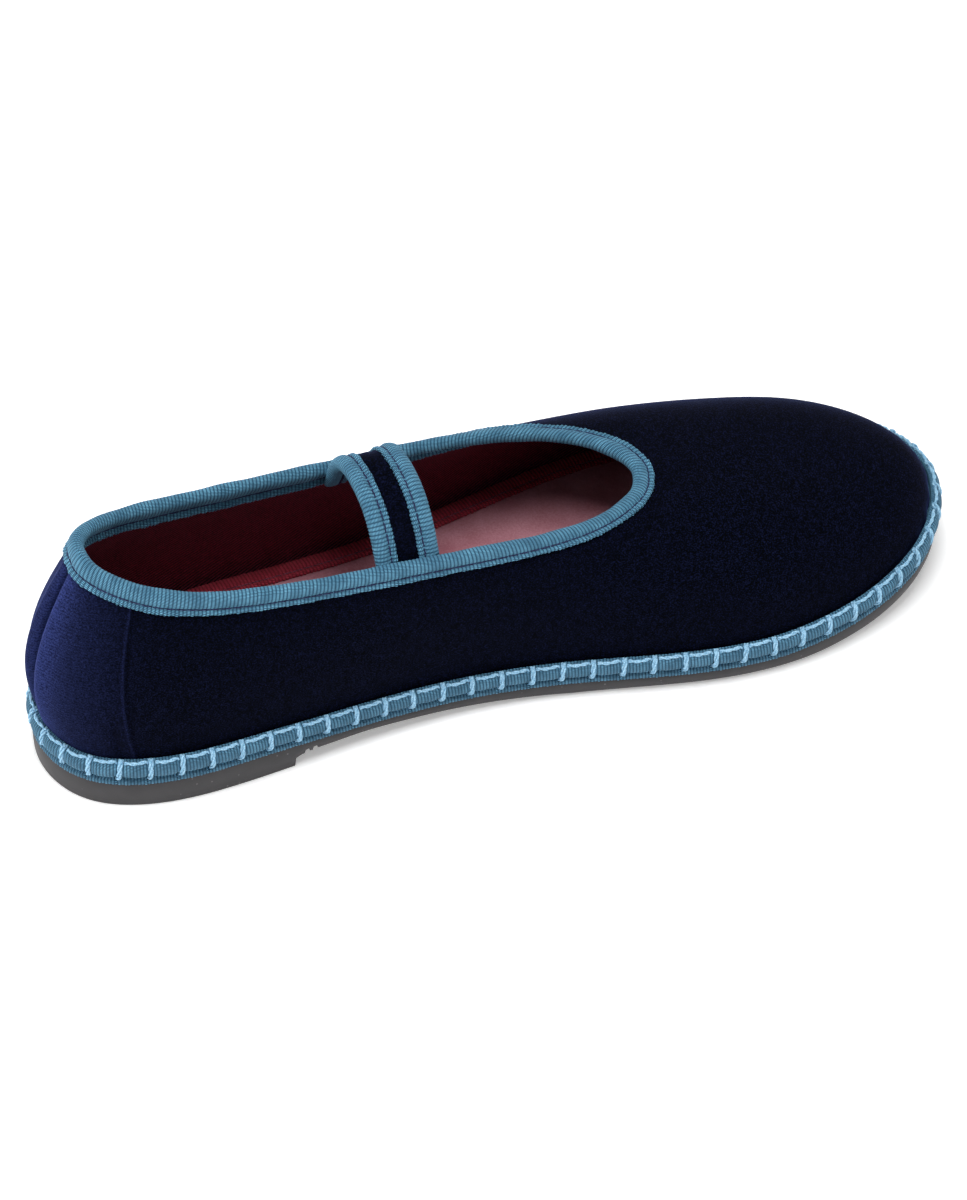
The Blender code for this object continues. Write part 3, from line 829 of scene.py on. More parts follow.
@dataclass(frozen=True)
class Velvet:
    """Cotton velvet, cut pile: nearly black seen straight on, and glowing where the pile is seen edge on."""

    name: str = "cotton_velvet"
    deep: str = "#010206"
    body: str = "#0e132c"
    # Painted light: the paler colour of brushed pile where it catches the light
    brushed_pile_painted_light: str = "#3d4a8c"
    glow: str = "#7086e0"
    pile: float = 0.22
    clump: float = 1.6
    row: float = 0.85

    def material(self) -> Material:
        """Build the velvet's material.

        Real tufts are about 0.1 mm wide. They are drawn coarser, so that they show at the render's size.

        Returns:
            The material, on Object coordinates, with paler colour painted where the pile's attribute says the
            brushed pile catches the light.
        """
        material, shader, add = new_material(self.name)
        place = add("ShaderNodeTexCoord").outputs["Object"]
        painted_nap_shading = add("ShaderNodeAttribute", attribute_name=PAINTED_NAP_SHADING).outputs["Fac"]
        laid = add(VECTOR, place, (0.5, 0.5, 1.0), operation="MULTIPLY")
        tufts = add(NOISE, named=lumps(laid, self.pile, 1.0))
        clumps = add(NOISE, named=lumps(place, self.clump, 2.0))
        pile = add(MATH, clumps, 0.2, tufts, operation="MULTIPLY_ADD")
        spread = add(RANGE, pile, 0.57, 0.82, 0.0, 1.0)
        dark = add(MIX, spread, named={6: self.deep, 7: self.body}, data_type="RGBA")
        down = add(VECTOR, place, (0.0, 0.1, 1.0), operation="DOT_PRODUCT").outputs["Value"]
        sway = add(MATH, clumps, 5.0, operation="MULTIPLY")
        phase = add(MATH, down, 2 * np.pi / (self.row * MM), sway, operation="MULTIPLY_ADD")
        rows = add(MATH, phase, operation="SINE")
        combed = add(MATH, rows, 0.065, pile, operation="MULTIPLY_ADD")
        lifted = add(RANGE, combed, 0.25, 0.92, 0.0, 1.0)
        # Painted light and shade: the pile's attribute mixes in the paler colour of brushed pile catching the
        # light
        share = add(MATH, lifted, painted_nap_shading, operation="MULTIPLY", use_clamp=True)
        colour = add(MIX, share, named={6: dark.outputs[2], 7: self.brushed_pile_painted_light}, data_type="RGBA")
        coat(shader, colour, pile, 0.5, 0.2, {
            "Roughness": 0.95, "IOR": 1.46, "Specular IOR Level": 0.04,
            "Sheen Weight": 0.25, "Sheen Roughness": 0.25, "Sheen Tint": self.glow})
        return material


@dataclass(frozen=True)
class Twill:
    """Cotton twill lining: slanting ribs, dark wine, with dull light painted on their backs and shade painted
    between them.
    """

    name: str = "cotton_twill_lining"
    # hollow is shade painted between the ribs
    hollow: str = "#18050a"
    body: str = "#8c2a40"
    rib: float = 0.95
    slant: float = 25.0
    fuzz: float = 0.5

    def material(self) -> Material:
        """Build the lining's material.

        Returns:
            The material, on Object coordinates: its ribs rise toward the toe.
        """
        material, shader, add = new_material(self.name)
        place = add("ShaderNodeTexCoord").outputs["Object"]
        rise = (0.0, np.sin(np.radians(self.slant)), np.cos(np.radians(self.slant)))
        across = add(VECTOR, place, rise, operation="DOT_PRODUCT").outputs["Value"]
        wave = add(MATH, across, np.pi / (self.rib * MM), operation="MULTIPLY")
        arch = add(MATH, wave, operation="SINE")
        height = add(MATH, arch, operation="ABSOLUTE")
        fuzz = add(NOISE, named=lumps(place, self.fuzz, 4.0))
        grain = add(MATH, fuzz, 1.2, height, operation="MULTIPLY_ADD")
        # Painted light on the ribs' backs and painted shade between them, broken by fuzz
        lit = add(RANGE, grain, 0.95, 1.75, 0.0, 1.0)
        colour = add(MIX, lit, named={6: self.hollow, 7: self.body}, data_type="RGBA")
        coat(shader, colour, grain, 0.7, 0.3, {"Roughness": 0.8, "IOR": 1.46, "Specular IOR Level": 0.25})
        return material


@dataclass(frozen=True)
class Leather:
    """Matt sheepskin sock: a fine pebbled grain with pale specks where the dye is rubbed."""

    name: str = "matt_sheepskin"
    shade: str = "#995e69"
    light: str = "#b9828d"
    grain: float = 0.8
    pore: float = 0.5
    patch: float = 14.0

    def material(self) -> Material:
        """Build the leather's material.

        Returns:
            The material, on Object coordinates.
        """
        material, shader, add = new_material(self.name)
        place = add("ShaderNodeTexCoord").outputs["Object"]
        pebble = add("ShaderNodeTexVoronoi", named=lumps(place, self.grain, 0.0), feature="SMOOTH_F1")
        fine = add(NOISE, named=lumps(place, self.pore, 4.0))
        patch = add(NOISE, named=lumps(place, self.patch, 3.0))
        tone = add(MATH, fine, 0.6, patch, operation="MULTIPLY_ADD")
        lit = add(RANGE, tone, 0.6, 1.05, 0.0, 1.0)
        colour = add(MIX, lit, named={6: self.shade, 7: self.light}, data_type="RGBA")
        height = add(MATH, fine, 0.5, pebble, operation="MULTIPLY_ADD")
        coat(shader, colour, height, 0.4, 0.15, {"Roughness": 0.62, "IOR": 1.5, "Specular IOR Level": 0.4})
        return material


@dataclass(frozen=True)
class Rubber:
    """Moulded rubber, matt from the mould, dark grey with a faint bloom and a few pale specks."""

    name: str = "moulded_rubber"
    shade: str = "#292729"
    bloom: str = "#3a383a"
    speck: str = "#6a686a"
    cloud: float = 9.0
    grit: float = 0.45
    speck_apart: float = 3.2

    def material(self) -> Material:
        """Build the rubber's material.

        Returns:
            The material, on Object coordinates.
        """
        material, shader, add = new_material(self.name)
        place = add("ShaderNodeTexCoord").outputs["Object"]
        cloud = add(NOISE, named=lumps(place, self.cloud, 5.0))
        grit = add(NOISE, named=lumps(place, self.grit, 3.0))
        dust = add("ShaderNodeTexVoronoi", named=lumps(place, self.speck_apart, 0.0))
        mist = add(RANGE, cloud, 0.3, 0.7, 0.0, 1.0)
        base = add(MIX, mist, named={6: self.shade, 7: self.bloom}, data_type="RGBA")
        spot = add(RANGE, dust, 0.05, 0.09, 0.7, 0.0)
        colour = add(MIX, spot, named={6: base.outputs[2], 7: self.speck}, data_type="RGBA")
        height = add(MATH, cloud, 1.5, grit, operation="MULTIPLY_ADD")
        rough = add(RANGE, cloud, 0.3, 0.7, 0.5, 0.66)
        coat(shader, colour, height, 0.25, 0.12, {"Roughness": rough, "IOR": 1.52, "Specular IOR Level": 0.4})
        return material


@dataclass(frozen=True)
class Thread:
    """Spun cotton thread: matt, with shade painted in the hollows between fibres, drawn as coarse as they
    need to show.
    """

    name: str
    shade: str
    light: str
    fibre: float = 0.35

    def material(self) -> Material:
        """Build the thread's material.

        Returns:
            The material, on Object coordinates.
        """
        material, shader, add = new_material(self.name)
        place = add("ShaderNodeTexCoord").outputs["Object"]
        fibres = add(NOISE, named=lumps(place, self.fibre, 4.0) | {"Roughness": 0.7})
        # Painted shade where the fibres' relief is low, painted light where it is high
        lit = add(RANGE, fibres, 0.36, 0.6, 0.0, 1.0)
        colour = add(MIX, lit, named={6: self.shade, 7: self.light}, data_type="RGBA")
        coat(shader, colour, fibres, 0.5, 0.1, {
            "Roughness": 0.8, "IOR": 1.46, "Specular IOR Level": 0.25,
            "Sheen Weight": 0.3, "Sheen Roughness": 0.5, "Sheen Tint": self.light})
        return material


@dataclass(frozen=True)
class PaleFloor:
    """Opal light table: white all over, with its own glow in the shoe's shadow."""

    name: str = "opal_light_table"
    white: str = "#fafafa"
    glow: float = 0.3

    def material(self) -> Material:
        """Build the floor's material.

        Returns:
            The material, the same all over.
        """
        material, shader, _ = new_material(self.name)
        feed(shader, {"Base Color": self.white, "Roughness": 0.95, "Specular IOR Level": 0.1,
                      "Emission Color": self.white, "Emission Strength": self.glow})
        return material


class Finish(Enum):
    """The shoe's finishes by piece."""

    # Tapes: shade painted in the gaps, the cloth's own colour, and a highlight painted on the crowns
    EDGE_TAPE = Grosgrain("grosgrain_edge_tape", "#04141f", "#275876", "#7ab8da", rib=0.85, pick=0.35)
    COLLAR_TAPE = Grosgrain("grosgrain_collar_tape", "#031829", "#225b7d", "#82c8ea")
    SOCK_TAPE = Grosgrain("grosgrain_sock_tape", "#140205", "#a11c33", "#d04a5d")
    VELVET = Velvet()
    LINING = Twill()
    SOCK_LEATHER = Leather()
    RUBBER = Rubber()
    # Threads: shade painted in the hollows between fibres, and light painted on their tops
    BLANKET_THREAD = Thread("soft_cotton_cord", "#5f9ac0", "#aed6ed")
    COLLAR_THREAD = Thread("navy_sewing_thread", "#10142b", "#343c62")
    SOCK_THREAD = Thread("mauve_sewing_thread", "#4a1c2c", "#7d4a5c")
    FLOOR = PaleFloor()
    BACKDROP = PaleFloor("opal_backdrop", glow=0.62)

    def get(self) -> Material:
        """The finish's material, made on first use."""
        return bpy.data.materials.get(self.value.name) or self.value.material()


@dataclass(frozen=True)
class TwistedThread:
    """Geometry nodes that lay plies round each other along lines."""

    name: str
    plies: int
    sides: int = 6

    def tree(self, material: Material) -> NodeTree:
        """Build the tree.

        Args:
            material: the thread's finish.

        Returns:
            A tree with the inputs Ply Radius, Spread, Lay and Step, in metres.
        """
        tree, add, given = start_tree(self.name, ("Ply Radius", "Spread", "Lay", "Step"))
        ply_radius, spread, lay, step = given.outputs[1:5]
        curve = add("GeometryNodeMeshToCurve", given)
        even = add("GeometryNodeResampleCurve", named={"Curve": curve, "Length": step}, mode="LENGTH")
        normal = add("GeometryNodeInputNormal")
        tangent = add("GeometryNodeInputTangent")
        binormal = add(VECTOR, tangent, normal, operation="CROSS_PRODUCT")
        run = add("GeometryNodeSplineParameter").outputs["Length"]
        turns = add(MATH, run, lay, operation="DIVIDE")
        angle = add(MATH, turns, 2 * np.pi, operation="MULTIPLY")
        ring = add("GeometryNodeCurvePrimitiveCircle", named={"Resolution": self.sides, "Radius": ply_radius})
        laid = []
        for ply in range(self.plies):
            phase = add(MATH, angle, 2 * np.pi * ply / self.plies, operation="ADD")
            cosine = add(MATH, phase, operation="COSINE")
            sine = add(MATH, phase, operation="SINE")
            out = add(VECTOR, normal, named={"Scale": cosine}, operation="SCALE")
            side = add(VECTOR, binormal, named={"Scale": sine}, operation="SCALE")
            way = add(VECTOR, out, side, operation="ADD")
            offset = add(VECTOR, way, named={"Scale": spread}, operation="SCALE")
            moved = add("GeometryNodeSetPosition", named={"Geometry": even, "Offset": offset})
            sweep = {"Curve": moved, "Profile Curve": ring, "Fill Caps": True}
            laid.append(add("GeometryNodeCurveToMesh", named=sweep))
        end_tree(add, add("GeometryNodeJoinGeometry", laid), material)
        return tree


@dataclass(frozen=True)
class RunningStitch:
    """Geometry nodes that set short arched stitches end to end along lines."""

    name: str
    sides: int = 6
    bends: int = 6

    def tree(self, material: Material) -> NodeTree:
        """Build the tree.

        Args:
            material: the thread's finish.

        Returns:
            A tree with the inputs Pitch, Stitch, Rise and Radius, in metres. Lines carry the
            attribute that says which way the cloth faces.
        """
        tree, add, given = start_tree(self.name, ("Pitch", "Stitch", "Rise", "Radius"))
        pitch, length, rise, radius = given.outputs[1:5]
        curve = add("GeometryNodeMeshToCurve", given)
        spots = add("GeometryNodeResampleCurve", named={"Curve": curve, "Length": pitch}, mode="LENGTH")
        half = add(MATH, length, 0.5, operation="MULTIPLY")
        back = add(MATH, half, -1.0, operation="MULTIPLY")
        crown = add(MATH, rise, 2.0, operation="MULTIPLY")
        bend = {"Start": add("ShaderNodeCombineXYZ", named={"X": back}),
                "Middle": add("ShaderNodeCombineXYZ", named={"Z": crown}),
                "End": add("ShaderNodeCombineXYZ", named={"X": half})}
        arch = add("GeometryNodeCurveQuadraticBezier", named=bend | {"Resolution": self.bends})
        ring = add("GeometryNodeCurvePrimitiveCircle", named={"Resolution": self.sides, "Radius": radius})
        sweep = {"Curve": arch, "Profile Curve": ring, "Fill Caps": True}
        stitch = add("GeometryNodeCurveToMesh", named=sweep)
        tangent = add("GeometryNodeInputTangent")
        facing = add("GeometryNodeInputNamedAttribute", named={"Name": FACING}, data_type="FLOAT_VECTOR")
        along = add("FunctionNodeAlignRotationToVector", named={"Vector": tangent}, axis="X")
        upright = add("FunctionNodeAlignRotationToVector", named={"Rotation": along, "Vector": facing},
                      axis="Z", pivot_axis="X")
        placed = {"Points": spots, "Instance": stitch, "Rotation": upright}
        end_tree(add, add("GeometryNodeInstanceOnPoints", named=placed), material)
        return tree


@dataclass
class Ribbing:
    """Relief of ribbed tape: plump ribs with narrow valleys, and a selvedge of uneven loops."""

    length: float
    rib: float
    height: float
    hem: float
    seed: int
    steps: int = 4
    lean: float = 0.0
    rib_power: float = 0.7
    rib_level: float = 0.5
    least_rib: float = 0.75
    rib_stray: float = 0.5
    least_loop: float = 0.35
    loop_power: float = 0.6
    ribs: int = field(init=False)

    def __post_init__(self) -> None:
        """Fit an even number of ribs into the length, so that their yarns meet where a loop closes."""
        self.ribs = 2 * round(self.length / self.rib / 2)

    @property
    def count(self) -> int:
        """Mesh columns along the tape."""
        return self.ribs * self.steps

    def run(self) -> Points:
        """Cloth place of each column and of the closing one, in whole ribs of the finish."""
        return np.arange(self.count + 1) / self.steps * self.rib

    def relief(self, on_ribs: Points, on_hem: Points, across: Points) -> Points:
        """Work out the relief.

        Args:
            on_ribs, on_hem: how far each section row follows the ribs and the selvedge.
            across: distance of each row round the section.

        Returns:
            Millimetres out of the section, rows by columns with the closing one.
        """
        draw = np.random.default_rng(self.seed)
        turn = np.arange(self.count + 1) / self.steps + self.lean * across[:, None] / self.rib
        arch = np.abs(np.sin(np.pi * turn))
        plump = arch ** self.rib_power - self.rib_level
        own = self.least_rib + self.rib_stray * draw.random(self.ribs)
        loop = draw.random(self.ribs) ** 2
        own, loop = (np.append(np.repeat(v, self.steps), v[0]) for v in (own, loop))
        selvedge = (self.least_loop + loop) * arch ** self.loop_power
        return on_ribs[:, None] * self.height * 2 * own * plump + on_hem[:, None] * self.hem * selvedge


@dataclass
class Part:
    """A sub-assembly of the shoe, and the maker of its pieces."""

    make: Maker

    @property
    def last(self) -> Last:
        """The foot's form."""
        return self.make.last


@dataclass
class Outsole(Part):
    """Rubber sole with a heel block, a hollow waist, two notches, a treaded forefoot and a lifted toe."""

    rungs: int = 150
    round_top: float = 0.5
    rim: float = 0.5
    swell: float = 0.15
    bevel_run: float = 1.2
    bevel_steps: int = 4
    round_share: float = 0.3
    corner: float = 0.35
    corner_reads: int = 9
    corner_rungs: int = 5
    corner_clear: float = 0.6
    notch_width: float = 1.25
    notch_depth: float = 1.1
    groove_width: float = 2.2
    groove_depth: float = 1.6
    groove_border: float = 8.0
    groove_sweep: float = 6.0
    groove_reach: float = 1.0
    cutter_foot: float = -3.0
    sharp: float = 0.6
    notches: tuple[float, ...] = (64.0, 66.25)
    heel_grooves: tuple[float, ...] = (15.0, 26.0, 37.0, 48.0)
    forefoot_grooves: tuple[float, ...] = tuple(154.0 + 11.0 * step for step in range(8))
    arch_line: Table = ((61.2, 2.9), (64, 3.4), (70, 3.7), (78, 3.7), (96, 2.6), (116, 1.3), (134, 0.2),
                        (142, -0.4))
    edge_bevel: Table = ((0, 0.4), (0.25, 0.4), (0.5, 1.4), (0.65, 2.2), (1.0, 2.2))

    def underside(self, s: Points) -> Points:
        """Height of the bottom over the floor at s, with the hollow waist and its notches rounded off.

        Args:
            s: places along the foot.

        Returns:
            Heights there.
        """
        heights = np.zeros(len(s))
        for shift in np.linspace(-0.5, 0.5, self.corner_reads) * self.corner:
            at = s + shift
            floor = self.last.floor(at)
            arch = glide(self.arch_line, at)
            for start in self.notches:
                arch = arch + self.notch_depth * ((at > start) & (at < start + self.notch_width))
            hollow = (at > self.arch_line[0][0]) & (at < self.arch_line[-1][0])
            heights += np.where(hollow, np.maximum(arch, floor), floor) / self.corner_reads
        return heights

    def stops(self) -> Points:
        """Places along the foot for the mesh's rungs, closer at the steps of the underside.

        Returns:
            Rising shares of the way from the heel's back to the toe's tip.
        """
        even = eased(self.rungs)
        corners = [self.arch_line[0][0]]
        for start in self.notches:
            corners += [start, start + self.notch_width]
        near = np.linspace(-0.5, 0.5, self.corner_rungs) * self.corner
        close = np.concatenate([c + near for c in corners]) / self.last.length
        clear = self.corner_clear * self.corner / self.last.length
        away = np.abs(even[:, None] - close).min(axis=1) > clear
        return np.sort(np.concatenate([even[away], close]))

    def chevron(self, s: float) -> list[tuple[float, float]]:
        """Plan outline of one tread groove that points at the toe and stops short of the sole's edge.

        Args:
            s: the groove's tip.

        Returns:
            Corners as s and n.
        """
        edge = self.last.read(np.arange(self.last.dense) / self.last.dense)[:, :2]
        across = edge[np.abs(edge[:, 0] - (s - self.groove_sweep)) < self.groove_reach, 1]
        medial, lateral = across.max() - self.groove_border, across.min() + self.groove_border
        half = self.groove_width / 2
        tip = [(s - self.groove_sweep + half, medial), (s + half, (medial + lateral) / 2),
               (s - self.groove_sweep + half, lateral)]
        return tip + [(along - self.groove_width, n) for along, n in reversed(tip)]

    def cutter(self) -> Object:
        """Upright prisms that cut the tread's grooves.

        Returns:
            The object.
        """
        points, faces = [], []
        for s in self.heel_grooves + self.forefoot_grooves:
            outline = self.chevron(s)
            base, size = len(points), len(outline)
            top = float(self.last.floor(np.array([s]))[0]) + self.groove_depth
            points += [(*corner, z) for z in (self.cutter_foot, top) for corner in outline]
            faces += [tuple(range(base, base + size)), tuple(range(base + size, base + 2 * size))]
            faces += ring_faces(size, base, base + size)
        return self.make.piece("tread_cutter", np.array(points), faces, Finish.RUBBER.get())

    def build(self) -> None:
        """Model the sole, cut its tread and dress it."""
        share = self.make.paired(self.stops())
        plan = self.last.edge(share, 0)
        top, low = self.last.seat(plan[:, 0]) + self.rim, self.underside(plan[:, 0])
        bevel = glide(self.edge_bevel, plan[:, 0] / self.last.length)
        eased_edge = self.round_share * self.round_top
        levels = [(-self.round_top, top), (-eased_edge, top - eased_edge), (0, top - self.round_top),
                  (self.swell, (top + low + bevel) / 2)]
        for turn in np.linspace(0, np.pi / 2, self.bevel_steps):
            inset = -bevel * self.bevel_run * (1 - np.cos(turn))
            levels.append((inset, low + bevel * (1 - np.sin(turn))))
        rings = [np.column_stack([self.last.edge(share, out), height]) for out, height in levels]
        sole = self.make.slab("rubber_sole", rings, Finish.RUBBER.get())
        cutter = self.cutter()
        step = sole.modifiers.new("tread", "BOOLEAN")
        step.operation = "DIFFERENCE"
        step.object = cutter
        mesh = plain_mesh(sole)
        sole.modifiers.remove(step)
        sole.data = mesh
        mesh.name = "rubber_sole"
        mesh.set_sharp_from_angle(angle=self.sharp)
        bpy.data.objects.remove(cutter)
        declare(sole, "rubber", "outsole")


@dataclass
class Midsole(Part):
    """Cloth midsole: a plate, a taped edge with flange, groove and roll, and a blanket stitch over it."""

    rib: float = 0.85
    section_points: int = 36
    bar_pitch: float = 8.1
    bar_phase: float = 0.76
    swell: float = 0.5
    swell_power: float = 0.7
    pinch: float = 0.5
    pinch_drop: float = 0.3
    pinch_half_width: float = 1.1
    rib_height: float = 0.045
    hem_height: float = 0.12
    hole_at: float = -0.9
    hole_half_width: float = 0.5
    hole_depth: float = 1.3
    bar_points: int = 24
    bar_stray: float = 0.12
    bar_lift: float = 0.45
    bar_lean: float = 0.7
    bar_lean_stray: float = 0.25
    bar_hook: float = 0.4
    bar_hook_run: float = 0.2
    bar_ply: float = 0.33
    bar_spread: float = 0.4
    bar_lay: float = 7.5
    run_points: int = 18
    run_start: float = 1.15
    run_short: float = 1.9
    run_inset: float = 0.75
    run_height: float = 8.25
    run_slack: tuple[float, float] = (0.5, 1.0)
    run_sag: float = 0.45
    sag_power: float = 0.8
    run_dive: tuple[float, float] = (1.1, 0.9)
    run_dive_share: float = 0.05
    run_ply: float = 0.3
    run_spread: float = 0.21
    run_lay: float = 4.5
    thread_step: float = 0.3
    plate_rungs: int = 60
    plate_inset: float = 3.6
    plate_levels: tuple[float, float] = (0.6, 5.0)
    plate_sharp: float = 0.6
    seed: int = 7

    # How far the roll's top stands above its table height along the foot
    TOP_LINE = ((0.0, 0.35), (0.06, 0.3), (0.16, -0.25), (0.27, -1.0), (0.45, -1.05), (0.75, -0.8),
                (1.0, -0.4))

    # Section of the taped edge: out from the sole's edge, up from the rubber, and how far each corner
    # follows the ribs, the swell between stitches, the ragged hem, the top's height and the needle holes
    SECTION = {
        "plate_foot": (-3.4, 0.6, 0.0, 0.0, 0.0, 0.0, 0.0),
        "foot": (-1.0, 0.6, 0.0, 0.0, 0.0, 0.0, 0.0),
        "hem_foot": (0.05, 0.65, 0.6, 0.0, 1.0, 0.0, 0.0),
        "hem": (0.35, 0.95, 1.0, 0.0, 1.0, 0.0, 0.0),
        "flange_side": (0.3, 1.55, 1.0, 0.0, 0.4, 0.0, 0.2),
        "flange_top": (-0.05, 2.2, 0.8, 0.0, 0.2, 0.0, 0.9),
        "groove": (-0.95, 2.7, 0.2, 0.0, 0.0, 0.1, 1.0),
        "roll_under": (-0.35, 3.15, 0.6, 0.4, 0.0, 0.2, 1.0),
        "roll_low": (0.4, 3.85, 1.0, 0.8, 0.0, 0.3, 0.2),
        "roll_side": (0.75, 4.9, 1.0, 1.0, 0.0, 0.5, 0.0),
        "roll_high": (0.65, 6.0, 1.0, 1.0, 0.0, 0.7, 0.0),
        "roll_over": (0.25, 7.1, 1.0, 0.8, 0.0, 1.0, 0.0),
        "roll_top": (-0.35, 7.7, 0.8, 0.4, 0.0, 1.0, 0.0),
        "thread_bed": (-0.85, 7.7, 0.4, 0.2, 0.0, 1.0, 0.0),
        "lip": (-1.1, 8.2, 1.0, 0.2, 0.0, 1.0, 0.0),
        "lip_top": (-1.5, 8.3, 1.0, 0.0, 0.0, 1.0, 0.0),
        "lip_back": (-1.8, 7.6, 0.0, 0.0, 0.0, 1.0, 0.0),
        "plate_edge": (-2.1, 5.3, 0.0, 0.0, 0.0, 0.0, 0.0),
        "plate_top": (-3.4, 5.2, 0.0, 0.0, 0.0, 0.0, 0.0),
    }
    BAR = ("lip", "groove")

    def __post_init__(self) -> None:
        """Fit whole ribs and whole stitches into the length of the sole's edge."""
        _, self.round_length = self.last.even_shares(False, 8)
        self.ribbing = Ribbing(self.round_length, self.rib, self.rib_height, self.hem_height, self.seed)
        self.bars = round(self.round_length / self.bar_pitch)
        self.pitch = self.round_length / self.bars

    def past_bar(self, along: Points) -> Points:
        """Distance of each place along the edge past the nearest stitch bar, below zero before it."""
        return (np.mod(along / self.pitch - self.bar_phase + 0.5, 1.0) - 0.5) * self.pitch

    def lay_section(self, rows: Points, normal: Points, along: Points, relief: float | Points) -> Points:
        """Run section rows along the sole's edge, swelling between the stitches.

        Args:
            rows: section rows with their weights.
            normal: outward directions of the section.
            along: distances along the edge, one for each column.
            relief: distance off the tape, for all or as rows by columns.

        Returns:
            Rows by columns of points.
        """
        share = self.last.share_at(along)
        past = self.past_bar(along)
        swell = self.swell * np.sin(np.pi * np.abs(past) / self.pitch) ** self.swell_power
        tuck = self.pinch * bell(past, self.pinch_half_width)
        hole = self.hole_depth * bell(past - self.hole_at, self.hole_half_width)
        plan = self.last.edge(share, 0)
        top = glide(self.TOP_LINE, plan[:, 0] / self.last.length)
        out, high, _, on_swell, _, on_top, on_hole = rows.T[:, :, None]
        out = out + on_swell * (swell - tuck) - on_hole * hole + normal[:, 0, None] * relief
        high = high - on_swell * self.pinch_drop * tuck + on_top * top + normal[:, 1, None] * relief
        moved = plan[None] + out[:, :, None] * self.last.outward(share)[None]
        return np.concatenate([moved, (self.last.seat(plan[:, 0]) + high)[:, :, None]], axis=2)

    def tape(self) -> Object:
        """Ribbed tape bound round the midsole's edge.

        Returns:
            The object.
        """
        rows, normal, across = section(self.SECTION, self.section_points)
        relief = self.ribbing.relief(rows[:, 2], rows[:, 4], across[:-1])[:, :-1]
        along = np.arange(self.ribbing.count) / self.ribbing.count * self.round_length
        points = self.lay_section(rows, normal, along, relief)
        return self.make.loft("midsole_edge_tape", points, self.ribbing.run(), across, Finish.EDGE_TAPE.get())

    def plate(self) -> Object:
        """Cloth plate inside the taped edge, under the sock.

        Returns:
            The object.
        """
        plan = self.last.edge(self.make.paired(eased(self.plate_rungs)), -self.plate_inset)
        seat = self.last.seat(plan[:, 0])
        rings = [np.column_stack([plan, seat + level]) for level in self.plate_levels]
        return self.make.slab("midsole_plate", rings, Finish.EDGE_TAPE.get(), sharp=self.plate_sharp)

    def bar_lines(self) -> list[Points]:
        """Bars of the blanket stitch, from the roll's top over its side and hooked into the groove.

        Returns:
            Each bar's points.
        """
        rows, normal, _ = section(self.SECTION, 8 * self.section_points)
        corners = [self.SECTION[name][:2] for name in self.BAR]
        first, last = (np.linalg.norm(rows[:, :2] - corner, axis=1).argmin() for corner in corners)
        over = np.linspace(first, last, self.bar_points).round().astype(int)
        t = np.linspace(0, 1, self.bar_points)
        hook = self.bar_hook * np.maximum(t - (1 - self.bar_hook_run), 0) / self.bar_hook_run
        lines = []
        draw = np.random.default_rng(self.seed)
        for k in range(self.bars):
            centre = (k + self.bar_phase) * self.pitch + draw.normal(0, self.bar_stray)
            lean = (0.5 - t) * (self.bar_lean + draw.normal(0, self.bar_lean_stray)) - hook
            at_bar = np.array([centre])
            points = self.lay_section(rows[over], normal[over], at_bar, self.bar_lift)[:, 0]
            leaning, upright = (self.last.share_at(at) for at in (centre + lean, at_bar))
            points[:, :2] += self.last.edge(leaning, 0) - self.last.edge(upright, 0)
            lines.append(points)
        return lines

    def run_lines(self) -> list[Points]:
        """Runs of the blanket stitch along the roll's top, from beside one bar to behind the next.

        Returns:
            Each run's points.
        """
        draw = np.random.default_rng(self.seed + 1)
        t = np.linspace(0, 1, self.run_points)
        into, out_of = self.run_dive
        dive = into * np.exp(-t / self.run_dive_share) + out_of * np.exp(-(1 - t) / self.run_dive_share)
        lines = []
        for k in range(self.bars):
            sag = draw.uniform(*self.run_slack) * np.sin(np.pi * t ** self.sag_power) ** self.sag_power
            at = (k + self.bar_phase) * self.pitch + self.run_start + t * (self.pitch - self.run_short)
            share = self.last.share_at(at)
            s = self.last.edge(share, 0)[:, 0]
            top = glide(self.TOP_LINE, s / self.last.length)
            plan = self.last.edge(share, self.run_inset * sag - self.run_inset)
            height = self.last.seat(s) + top + self.run_height - self.run_sag * sag - dive
            lines.append(np.column_stack([plan, height]))
        return lines

    def build(self) -> None:
        """Model the midsole and sew it."""
        declare(self.tape(), "edge_tape", "midsole")
        declare(self.plate(), "edge_tape", "midsole")
        thread = Finish.BLANKET_THREAD.get()
        for name, lines, plies, ply, spread, lay in (
                ("blanket_stitch_bars", self.bar_lines(), 3, self.bar_ply, self.bar_spread, self.bar_lay),
                ("blanket_stitch_runs", self.run_lines(), 2, self.run_ply, self.run_spread, self.run_lay)):
            sizes = {"Ply Radius": ply * MM, "Spread": spread * MM, "Lay": lay * MM,
                     "Step": self.thread_step * MM}
            tree = TwistedThread(name, plies).tree(thread)
            declare(self.make.grown(name, lines, None, tree, sizes, thread), "edge_tape")


